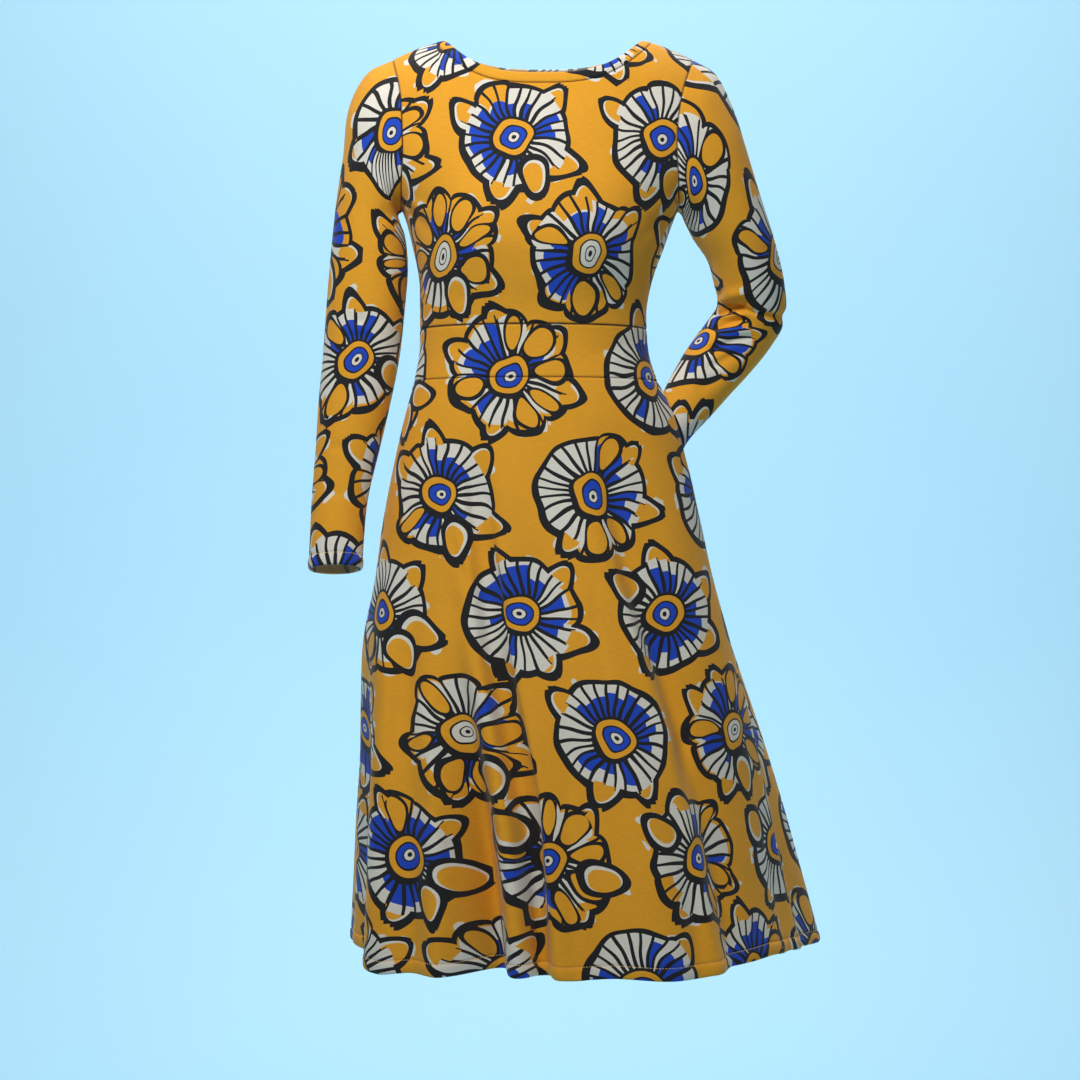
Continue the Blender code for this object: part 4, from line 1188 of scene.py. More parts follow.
CREASES = {
    "bodice_front": [
        Crease(-2.2, 7, 9, 0.0, 0.9, [(-148, 205), (-128, 228), (-104, 246)]),
        Crease(1.6, 6, 8, 0.0, 0.9, [(-152, 190), (-126, 205), (-98, 216)]),
        Crease(-2.4, 7, 9, 0.0, 0.9, [(149, 204), (130, 226), (102, 250)]),
        Crease(1.6, 6, 8, 0.0, 0.9, [(154, 186), (130, 202), (104, 212)]),
        Crease(-1.4, 8, 8, 0.3, 0.9, [(-96, 318), (-88, 296), (-82, 268)]),
        Crease(-1.4, 8, 8, 0.3, 0.9, [(72, 320), (78, 298), (80, 270)]),
    ],
    "bodice_back": [
        Crease(-2.6, 8, 10, 0.0, 0.9, [(-150, 205), (-120, 236), (-84, 258)]),
        Crease(-2.4, 8, 10, 0.0, 0.9, [(150, 205), (124, 230), (90, 250)]),
        Crease(-2.0, 7, 9, 0.4, 0.6, [(-100, 300), (-40, 290), (20, 298), (88, 292)]),
        Crease(1.6, 7, 7, 0.4, 0.6, [(-90, 282), (-30, 274), (50, 280), (86, 276)]),
    ],
    "waistband_front": [
        Crease(-1.0, 6, 8, 0.3, 0.3, [(-118, 346), (-84, 362), (-50, 366)]),
        Crease(-0.9, 6, 8, 0.3, 0.3, [(112, 350), (84, 366), (52, 370)]),
    ],
    "waistband_back": [
        Crease(-1.1, 7, 8, 0.3, 0.3, [(-110, 350), (-40, 362), (24, 358)]),
        Crease(-1.0, 6, 8, 0.3, 0.3, [(110, 352), (60, 372), (16, 374)]),
    ],
    "skirt_front": [
        Crease(-8.0, 15, 24, 0.2, 0.55, SKIRT_MAIN),
        Crease(3.5, 18, 14, 0.25, 0.0, [(x - 34, down) for x, down in SKIRT_MAIN]),
        Crease(-6.0, 15, 4.5, 0.35, 0.0, SKIRT_KNIFE),
        Crease(3.6, 6, 14, 0.35, 0.0, [(x + 15, down) for x, down in SKIRT_KNIFE]),
        Crease(-6.0, 11, 18, 0.25, 0.25, SKIRT_SECOND),
        Crease(3.0, 15, 14, 0.3, 0.3, [(x - 28, down) for x, down in SKIRT_SECOND]),
        Crease(-4.0, 11, 14, 0.2, 0.0, SKIRT_SECOND_LOW),
        Crease(-2.6, 7, 9, 0.5, 0.0, SKIRT_SLIGHT),
        Crease(-5.0, 16, 12, 0.4, 0.0, SKIRT_LEFT),
        Crease(1.8, 5, 6, 0.4, 0.4, seen_in_photo([(-100, 470), (-94, 520), (-88, 580)], 0.13)),
        Crease(-1.9, 5, 6, 0.4, 0.4, seen_in_photo([(-88, 462), (-84, 516), (-76, 600)], 0.13)),
        Crease(-2.2, 5, 7, 0.4, 0.4, seen_in_photo([(-112, 560), (-100, 610), (-82, 660)], 0.13)),
        Crease(2.0, 6, 7, 0.4, 0.4, seen_in_photo([(-54, 560), (-44, 620), (-32, 700)], 0.14)),
        Crease(-2.4, 7, 9, 0.4, 0.4, seen_in_photo([(-150, 880), (-110, 930), (-80, 1010)], 0.15)),
        Crease(-2.2, 8, 9, 0.4, 0.3, seen_in_photo([(60, 620), (78, 760), (100, 900)], 0.15)),
    ],
    "skirt_back": [
        Crease(-4.0, 16, 14, 0.3, 0.0, [(-60, 450), (-66, 560), (-84, 720), (-98, 900), (-104, 1110)]),
        Crease(-3.8, 8, 16, 0.3, 0.0, [(34, 470), (50, 600), (58, 760), (76, 930), (86, 1110)]),
        Crease(2.6, 14, 12, 0.3, 0.0, [(-20, 520), (-24, 700), (-10, 900), (0, 1110)]),
        Crease(-3.0, 12, 12, 0.4, 0.0, [(120, 560), (150, 740), (176, 920), (192, 1110)]),
        Crease(-2.6, 12, 12, 0.4, 0.0, [(-140, 600), (-160, 780), (-172, 950), (-180, 1110)]),
    ],
    "sleeve_right": [
        Crease(-2.0, 6, 9, 0.4, 0.5, [(-196, 322), (-212, 330), (-232, 328)]),
        Crease(-1.7, 6, 8, 0.4, 0.5, [(-198, 352), (-216, 346), (-238, 352)]),
        Crease(1.4, 6, 6, 0.4, 0.5, [(-197, 338), (-215, 339), (-230, 341)]),
        Crease(-1.8, 7, 9, 0.2, 0.8, [(-178, 196), (-196, 216), (-210, 250)]),
        Crease(-1.4, 6, 7, 0.4, 0.5, [(-222, 470), (-238, 480), (-254, 474)]),
        Crease(-1.3, 6, 7, 0.4, 0.5, [(-228, 540), (-244, 532), (-260, 540)]),
    ],
    "sleeve_left": [
        Crease(3.6, 8, 7, 0.25, 0.3, [(206, 300), (226, 293), (244, 290), (264, 290)]),
        Crease(-6.0, 5, 8, 0.2, 0.3, [(206, 316), (228, 309), (246, 304), (262, 304)]),
        Crease(3.0, 6, 6, 0.25, 0.3, [(204, 324), (226, 318), (246, 314), (262, 314)]),
        Crease(-5.0, 5, 7, 0.2, 0.3, [(202, 334), (222, 326), (242, 322), (258, 324)]),
        Crease(2.6, 6, 7, 0.25, 0.3, [(204, 346), (224, 338), (244, 334), (262, 334)]),
        Crease(-5.4, 5, 9, 0.2, 0.3, [(200, 362), (220, 352), (242, 345), (264, 342)]),
        Crease(-4.0, 5, 8, 0.25, 0.35, [(196, 384), (214, 374), (232, 364), (250, 356)]),
        Crease(-2.6, 6, 8, 0.3, 0.4, [(184, 408), (204, 398), (226, 384)]),
        Crease(-4.4, 6, 8, 0.1, 0.6, [(196, 282), (210, 290), (228, 286)]),
        Crease(-2.4, 6, 9, 0.2, 0.8, [(182, 196), (198, 216), (212, 250)]),
    ],
}
print("creases:", {name: len(rows) for name, rows in CREASES.items()})

# %% [markdown]
# A crease lies in the cloth, so its places are looked up on the flat cloth of the piece before it is
# raised. A sleeve has cloth in front and behind, and its hidden side gets the same creases a little lower,
# because folds round a tube never meet exactly.

# %% Creases found on the cloth
HIDDEN_SLEEVE_SHIFT = 14
CREASE_CLEAR_OF_SEAM = 0.012


def on_flat_cloth(points, normals, flat, crease, side, lower):
    """Finds each place of a crease on the flat cloth, from the cloth that faces the front or the back."""
    facing = normals[..., 1] * side > 0.05
    found = []
    for across, down in crease.points:
        down += lower
        away = (points[..., 0] - across / 1000.0) ** 2 + (points[..., 2] + down / 1000.0) ** 2
        nearest = np.unravel_index(np.where(facing, away, 9.0).argmin(), away.shape)
        found.append(tuple(flat[nearest] * 1000.0))
    return crease._replace(points=found)


print("creases in all:", sum(len(rows) for rows in CREASES.values()))

# %% [markdown]
# To print on a piece, its grid of points is laid flat. A band or a bodice unrolls by walking level round
# the body, and a sleeve by opening its underarm seam. Unwrapping tools could do this after modelling, but
# walking the grid keeps the threads of the cloth straight, as a cutter lays them.

# %% The pieces laid flat
BACK_PRINT_SHIFT = 0.063
FOLD_EASE = 26
REAL_SHARE = 0.15


def as_array(rows):
    return np.array([[tuple(point) for point in row] for row in rows])


def level_distance(points, zero_column):
    """Distance along each row from one column, measured level."""
    steps = np.linalg.norm(np.diff(points[..., :2], axis=1), axis=2)
    over = np.concatenate([np.zeros((len(points), 1)), np.cumsum(steps, axis=1)], axis=1)
    return over - over[:, zero_column : zero_column + 1]


def body_flat(points, side):
    """Across and down on the flat cloth, for a piece that goes from side seam to side seam."""
    across = level_distance(points, points.shape[1] // 2)
    if side == BACK:
        across = BACK_PRINT_SHIFT - across
    down = np.array([[print_down(Vector(point)) for point in row] for row in points])
    return np.stack([across, down], axis=-1)


def eased_rows(points, reach):
    """Each row of the grid with its folds smoothed away, and its ends kept."""
    before = 2 * points[:, :1] - points[:, reach:0:-1]
    after = 2 * points[:, -1:] - points[:, -2 : -reach - 2 : -1]
    padded = np.concatenate([before, points, after], axis=1)
    weights = np.hanning(2 * reach + 3)[1:-1]
    weights /= weights.sum()
    columns = points.shape[1]
    return sum(weight * padded[:, i : i + columns] for i, weight in enumerate(weights))


def skirt_flat(points, side):
    """The print runs a little tighter than the cloth in a deep fold, where jersey is pulled out of shape."""
    middle = points.shape[1] // 2
    real = walked(points, 1)
    smooth = walked(eased_rows(points, FOLD_EASE), 1)
    over = smooth * (1 - REAL_SHARE) + real * REAL_SHARE
    across = over - over[:, middle : middle + 1]
    if side == BACK:
        across = across + BACK_PRINT_SHIFT
    return np.stack([across, -points[..., 2]], axis=-1)


def tube_flat(points, hand):
    """A sleeve opened at its underarm seam: across from its front line, and down from the armhole."""
    ring = np.concatenate([points, points[:, :1]], axis=1)
    steps = np.linalg.norm(np.diff(ring, axis=1), axis=2)
    over = np.concatenate([np.zeros((len(ring), 1)), np.cumsum(steps, axis=1)], axis=1)
    front = round(points.shape[1] * 0.75)
    across = (over - over[:, front : front + 1]) * -hand
    middle = points.mean(axis=1)
    run = np.linalg.norm(np.diff(middle, axis=0), axis=1)
    down = np.concatenate([[0.0], np.cumsum(run)])
    return np.stack([across, np.repeat(down[:, None], ring.shape[1], axis=1)], axis=-1)


print("the back's print starts", BACK_PRINT_SHIFT * 1000, "mm further round")

# %% [markdown]
# One record for each cut piece now holds all that the later steps need: its points with their creases,
# which way is out, its flat places, its flowers, and which of its edges are sewn or free.

# %% The cut pieces
pieces = {}


def add_piece(name, rows, flat, flowers, sewn, closed=False, wall=WALL, free="", centres=None):
    points = as_array(rows)
    if centres is None:
        if closed:
            centres = points.mean(axis=1, keepdims=True)
        else:
            centres = np.array([[(section("centre_x", z), 0.0, z) for z in row] for row in points[..., 2]])
    normals = grid_normals(points, closed)
    flip = bool((normals * (points - centres)).sum() < 0)
    height = np.zeros(points.shape[:2])
    grid_flat = flat[:, : points.shape[1]]
    outward = -normals if flip else normals
    sides = (FRONT, BACK) if name.startswith("sleeve") else (BACK if name.endswith("back") else FRONT,)
    for side in sides:
        for crease in CREASES.get(name, []):
            lower = HIDDEN_SLEEVE_SHIFT if side == BACK and name.startswith("sleeve") else 0
            placed = on_flat_cloth(points, outward, grid_flat, crease, side, lower)
            height += crease_height(grid_flat, placed)
    if height.any():
        distance = seam_distance(points, sewn - {"joined"}, closed)
        height *= smooth_step(distance, 0.0, CREASE_CLEAR_OF_SEAM)
        points = points + normals * (-1 if flip else 1) * height[..., None]
        normals = grid_normals(points, closed)
    pieces[name] = dict(
        points=points, normals=-normals if flip else normals, flip=flip, flat=flat, flowers=flowers,
        sewn=sewn, closed=closed, wall=wall, free=free,
    )


ALL_ROUND = {"first", "last", "left", "right"}
for side, word in ((FRONT, "front"), (BACK, "back")):
    for kind, rows in (("bodice", bodice[side]), ("waistband", waistband[side])):
        add_piece(f"{kind}_{word}", rows, body_flat(as_array(rows), side), body_flowers, ALL_ROUND)
    flat = skirt_flat(as_array(skirt[side]), side)
    add_piece(f"skirt_{word}", skirt[side], flat, body_flowers, {"last", "left", "right"}, free="first")

band_points = as_array(neckband)
band_ring = np.concatenate([band_points, band_points[:, :1]], axis=1)
band_across = -level_distance(band_ring, round(band_points.shape[1] * 0.25))
band_down = np.array([[print_down(Vector(point)) for point in row] for row in band_ring])
band_flat = np.stack([band_across, band_down], axis=-1)
add_piece("neckband", neckband, band_flat, body_flowers, {"first"}, True, NECKBAND_WALL, "last")
for word, hand, flowers in (("right", -1, right_sleeve_flowers), ("left", 1, left_sleeve_flowers)):
    flat = tube_flat(as_array(sleeves[hand]), hand)
    add_piece(f"sleeve_{word}", sleeves[hand], flat, flowers, {"first", "joined"}, True, free="last")

bag_points = as_array(bag)
bag_centres = bag_points.mean(axis=1, keepdims=True)
half = bag_points.shape[1] // 2
bag_ring = np.concatenate([bag_points, bag_points[:, :1]], axis=1)
bag_flat = tube_flat(bag_points, 1)
for word, span in (("front", slice(0, half + 1)), ("back", slice(half, None))):
    add_piece(f"pocket_bag_{word}", bag_ring[:, span], bag_flat[:, span], body_flowers, ALL_ROUND,
              wall=BAG_WALL, centres=bag_centres)
print("pieces of cloth:", sorted(pieces))

# %% [markdown]
# Where two pieces are sewn together, both have a point at the same place. Looking these up by place
# tells each point which way its neighbour lies, so it can draw back by half the gap of the seam, and
# share its corner with the neighbour where the seam is a ridge.

# %% Seams where pieces meet


def key_of(point):
    return tuple(round(float(value) * 1e5) for value in point)


def seam_pulls(piece):
    """For each sewn point, the direction from the seam into its own piece, and None elsewhere."""
    points, sewn = piece["points"], piece["sewn"]
    last_row, last_column = points.shape[0] - 1, points.shape[1] - 1
    pulls = {}
    edge_rows = ([0] if "first" in sewn else []) + ([last_row] if "last" in sewn else [])
    edge_columns = ([0] if "left" in sewn else []) + ([last_column] if "right" in sewn else [])
    places = {(r, c) for r in edge_rows for c in range(last_column + 1)}
    places |= {(r, c) for c in edge_columns for r in range(last_row + 1)}
    for r, c in sorted(places):
        inner_r = 1 if r == 0 and "first" in sewn else last_row - 1 if r == last_row and "last" in sewn else r
        inner_c = min(max(c, 1 if "left" in sewn else 0), last_column - (1 if "right" in sewn else 0))
        pulls[(r, c)] = unit(points[inner_r, inner_c] - points[r, c])
    return pulls


meetings = {}
for name, piece in pieces.items():
    piece["pulls"] = seam_pulls(piece)
    for place, pull in piece["pulls"].items():
        meetings.setdefault(key_of(piece["points"][place]), []).append((name, pull, piece["normals"][place]))
print("points where pieces meet:", sum(len({row[0] for row in met}) > 1 for met in meetings.values()))


def seam_shift_and_normal(name, pull, own_normal, met):
    """Moves a seam point half a gap into its piece, and mitres the wall where the seam is a ridge."""
    others = [(other_pull, normal) for other, other_pull, normal in met if other != name]
    if not others:
        return pull * SEAM_GAP / 2, own_normal
    away = sum(other_pull for other_pull, _ in others) / len(others)
    shift = unit(pull - away) * SEAM_GAP * DRAW_BACK
    ridges = [normal for other_pull, normal in others if own_normal @ other_pull < CREASE_LIMIT]
    return shift, unit(own_normal + sum(ridges)) if ridges else own_normal


print("a seam draws back by", SEAM_GAP * DRAW_BACK * 1000, "mm on each side")

# %% [markdown]
# Cloth has two faces and a thickness. The outer skin carries the roll of the seams and the puff of the
# hem, with its groove at the stitches, and the inner skin lies one wall behind it. A turned hem is two
# layers thick. A Solidify modifier gives an even wall, but not a hem that is thicker than the rest.

# %% Outer and inner skin
HEM_GROOVE = 0.0008
HEM_GROOVE_HALF_WIDTH = 0.0012
HEM_PUFF = 0.0010
HEM_PUFF_SHARE = 0.9
STITCH_SHARE = 0.92
BAND_PUFF = 0.0007


def hem_profile(from_edge):
    """How far the outer face of a turned hem stands out, by the distance from its edge."""
    groove = HEM_GROOVE * np.exp(-(((from_edge - HEM_TURN * STITCH_SHARE) / HEM_GROOVE_HALF_WIDTH) ** 2))
    inside = np.clip(from_edge / (HEM_TURN * HEM_PUFF_SHARE), 0.0, 1.0)
    puff = HEM_PUFF * np.sin(np.pi * inside) ** 0.7
    return np.where(from_edge < HEM_TURN * HEM_PUFF_SHARE, puff, 0.0) - groove


def skins(name, piece):
    """The outer and inner points of a piece, the round edge of each free end, and the painted seam shade."""
    points, normals = piece["points"].copy(), piece["normals"].copy()
    distance = seam_distance(points, piece["sewn"], piece["closed"])
    wall = np.full(points.shape[:2], piece["wall"])
    out = -SEAM_DIP * np.clip(1 - distance / SEAM_ROLL, 0.0, 1.0) ** 2
    if piece["free"]:
        down = walked(points, 0)
        from_edge = down if piece["free"] == "first" else down[-1:] - down
        if name == "neckband":
            out += BAND_PUFF * np.sin(np.pi * np.clip(distance / NECKBAND_WIDTH, 0.0, 1.0)) ** 0.6
        else:
            wall = np.where(from_edge < HEM_TURN, HEM_WALL, piece["wall"])
            out += hem_profile(from_edge)
    shifts = np.zeros_like(points)
    for place, pull in piece["pulls"].items():
        met = meetings[key_of(piece["points"][place])]
        shifts[place], normals[place] = seam_shift_and_normal(name, pull, normals[place], met)
    outer = points + shifts + normals * out[..., None]
    inner = outer - normals * wall[..., None]
    rounds = {}
    for row, next_row, word in ((0, 1, "first"), (-1, -2, "last")):
        if piece["free"] == word:
            away = unit(points[row] - points[next_row])
            rounds[word] = (outer[row] + inner[row]) / 2 + away * wall[row][:, None] / 2
    # Painted shade beside each sewn edge: strongest on the seam and gone 1.4 mm away.
    strengths = PAINTED_SEAM_SHADES.get(name.split("_")[0], {})
    shade = np.zeros(points.shape[:2])
    for edge, away in edge_distances(points, piece["sewn"], piece["closed"]).items():
        near = np.clip(PAINTED_SEAM_SHADE_SPREAD * (1 - away / PAINTED_SEAM_SHADE_REACH), 0.0, 1.0)
        shade = np.maximum(shade, near * strengths.get(edge, OTHER_PAINTED_SEAM_SHADE))
    return outer, inner, rounds, shade


print("turned hems are", HEM_WALL * 1000, "mm thick")

# %% [markdown]
# The faces join the two skins into one closed shell: the outside, the inside, a rim along every sewn edge
# and a round edge at a free one. Each face is listed so that it looks outwards.

# %% Faces of a closed shell


def cloth_faces(piece):
    """The faces of a piece as lists of corners. A corner is a layer, a row and a column."""
    rows, columns = piece["points"].shape[:2]
    spans = columns if piece["closed"] else columns - 1
    last = rows - 1
    faces = []
    for r in range(last):
        for c in range(spans):
            faces.append([(0, r, c), (0, r, c + 1), (0, r + 1, c + 1), (0, r + 1, c)])
            faces.append([(1, r + 1, c), (1, r + 1, c + 1), (1, r, c + 1), (1, r, c)])
    for word, row, layer in (("first", 0, 2), ("last", last, 3)):
        for c in range(spans):
            a, b = (c, c + 1) if word == "first" else (c + 1, c)
            if piece["free"] == word:
                faces.append([(0, row, b), (0, row, a), (layer, row, a), (layer, row, b)])
                faces.append([(layer, row, b), (layer, row, a), (1, row, a), (1, row, b)])
            else:
                faces.append([(0, row, b), (0, row, a), (1, row, a), (1, row, b)])
        if piece["free"] == word and not piece["closed"]:
            for c, first_end in ((0, word == "first"), (spans, word == "last")):
                cap = [(0, row, c), (1, row, c), (layer, row, c)]
                faces.append(cap if first_end else cap[::-1])
    if not piece["closed"]:
        for r in range(last):
            faces.append([(0, r, 0), (0, r + 1, 0), (1, r + 1, 0), (1, r, 0)])
            faces.append([(0, r + 1, spans), (0, r, spans), (1, r, spans), (1, r + 1, spans)])
    return [face[::-1] for face in faces] if piece["flip"] else faces


print("faces across a closed ring of the left sleeve:", pieces["sleeve_left"]["points"].shape[1])

# %% [markdown]
# The mesh keeps with each corner of a face where it lies on the flat cloth, its place in the print and
# whether it is on the inside. An image would need an unwrapped map, but these values are all the shader
# needs to draw the flowers sharp at any size.

# %% A mesh that knows its print
OUTER_SKIN, INNER_SKIN, FIRST_ROUND, LAST_ROUND = 0, 1, 2, 3


def corner_values(piece, faces):
    """What each corner of each face carries: its flat place, its side of the cloth, and the print's places."""
    starts = np.cumsum([0] + [len(face) for face in faces[:-1]])
    total = int(starts[-1] + len(faces[-1]))
    flat_places, reverse, tables = np.zeros((total, 2)), np.zeros(total), {}
    for size in (4, 3):
        chosen = [i for i, face in enumerate(faces) if len(face) == size]
        if not chosen:
            continue
        layer, row, column = np.moveaxis(np.array([faces[i] for i in chosen]), -1, 0)
        corner_flat = piece["flat"][row, column]
        at = starts[chosen][:, None] + np.arange(size)
        flat_places[at] = corner_flat
        reverse[at] = layer == INNER_SKIN
        for key, value in print_attributes(corner_flat, piece["flowers"]).items():
            tables.setdefault(key, np.zeros((total, 3)))[at] = value
    return flat_places, reverse, tables


def store(mesh, name, kind, domain, values):
    """Writes one attribute of the mesh, from an array of its values."""
    field = "vector" if kind == "FLOAT_VECTOR" else "value"
    mesh.attributes.new(name, kind, domain).data.foreach_set(field, values.astype(np.float32).ravel())


def make_cloth(name):
    """The finished mesh of one piece, as an object of its own."""
    piece = pieces[name]
    outer, inner, rounds, shade = skins(name, piece)
    rows, columns = piece["points"].shape[:2]
    count = rows * columns
    starts = {OUTER_SKIN: 0, INNER_SKIN: count, FIRST_ROUND: 2 * count, LAST_ROUND: 2 * count}
    vertices = np.concatenate([outer.reshape(-1, 3), inner.reshape(-1, 3), *rounds.values()])
    shades = np.zeros(len(vertices))
    shades[:count] = shade.reshape(-1)
    faces = cloth_faces(piece)
    numbered = [
        [starts[layer] + (r * columns if layer in (OUTER_SKIN, INNER_SKIN) else 0) + c % columns
         for layer, r, c in face]
        for face in faces
    ]
    mesh = bpy.data.meshes.new(name + "_cloth")
    mesh.from_pydata(vertices.tolist(), [], numbered)
    mesh.shade_smooth()
    flat_places, reverse, tables = corner_values(piece, faces)
    uv_map = mesh.uv_layers.new(name="cloth")
    uv_map.data.foreach_set("uv", flat_places.astype(np.float32).ravel())
    for key, value in tables.items():
        store(mesh, key, "FLOAT_VECTOR", "CORNER", value)
    store(mesh, "reverse", "FLOAT", "CORNER", reverse)
    # Painted shade of the seams, kept on each point for the shader.
    store(mesh, "painted_seam_shade", "FLOAT", "POINT", shades)
    cloth = bpy.data.objects.new(name + "_cloth", mesh)
    bpy.context.scene.collection.objects.link(cloth)
    return cloth


print("hem turned up", HEM_TURN * 1000, "mm")

# %% [markdown]
# ## The cloth
# The dress is cotton jersey, a fine knit, with the print lying in it as dye. Dyed cotton scatters light,
# so it has almost no gloss, only the faint bloom of its fibres seen edge on. The wheel of petals is drawn
# in polar places round each flower: the distance from its middle picks a ring, and the angle picks a petal.

# %% Colours and sizes of the print
DYES = {
    "orange": srgb("#F4AA26"),
    "blue": srgb("#1A4ACB"),
    "white": srgb("#EDE8DC"),
    "black": srgb("#1D1D20"),
    "pocketing": srgb("#C98A2C"),
    "thread": srgb("#F0C067"),
}
PETALS = 27
LOBES = 9
RIM_MM = 61.0
OUTLINE_MM = 6.0
OUTLINE_HEAVY_MM = 3.4
HEAVY_SIDE = math.radians(235)
PETAL_START_MM = 25.0
RINGS_MM = [
    (0.0, "black", "black"),
    (2.6, "white", "white"),
    (6.0, "black", "black"),
    (7.4, "blue", "white"),
    (13.3, "black", "black"),
    (15.3, "orange", "orange"),
    (21.8, "black", "black"),
]
RING_SPAN_MM = 30.0
print("petals in a wheel:", PETALS)

# %% [markdown]
# One flower is drawn in polar places: the distance from its middle picks a ring, and the angle picks a
# petal. A slow noise moves each line by a few millimetres, as a hand-cut block would, and the flower's
# seed makes it differ from the next. Everything is in millimetres, as on a printer's drawing.

# %% The petals, rings and buds of one flower


def smaller(tree, low, high):
    return add_node(tree, "Math", low, high, operation="LESS_THAN")


def wheel(tree, place, form, shake):
    """The places in one wheel: the shaken place, its distance from the middle and its angle, and the flower's form and
    seed.
    """
    moved = add_node(tree, "VectorMath", shake, (SHAKE_MM, SHAKE_MM, 0.0), place, operation="MULTIPLY_ADD")
    radius = add_node(tree, "VectorMath", moved, operation="LENGTH").outputs["Value"]
    parts = add_node(tree, "SeparateXYZ", moved)
    angle = add_node(tree, "Math", parts.outputs["Y"], parts.outputs["X"], operation="ARCTAN2")
    forms = add_node(tree, "SeparateXYZ", form)
    seed = add_node(tree, "Math", forms.outputs["Z"], operation="ROUND")
    return moved, radius, angle, forms, seed


def sector(tree, angle, count, seed, uneven):
    """Splits the full turn into a number of sectors. Gives the sector's number and the place across it."""
    first = add_node(tree, "Math", seed, 0.37, operation="MULTIPLY")
    turns = add_node(tree, "Math", angle, count / (2 * math.pi), first, operation="MULTIPLY_ADD")
    bent = add_node(tree, "Math", uneven, 0.9, turns, operation="MULTIPLY_ADD")
    wrapped = add_node(tree, "Math", bent, float(count), operation="FLOORED_MODULO")
    number = add_node(tree, "Math", wrapped, operation="FLOOR")
    across = add_node(tree, "Math", wrapped, operation="FRACT")
    return number, across


def chance(tree, number, seed):
    """Three chance values from 0 to 1 for one petal or lobe."""
    pair = add_node(tree, "CombineXYZ", number, seed)
    return add_node(tree, "SeparateColor", add_node(tree, "TexWhiteNoise", pair).outputs["Color"])


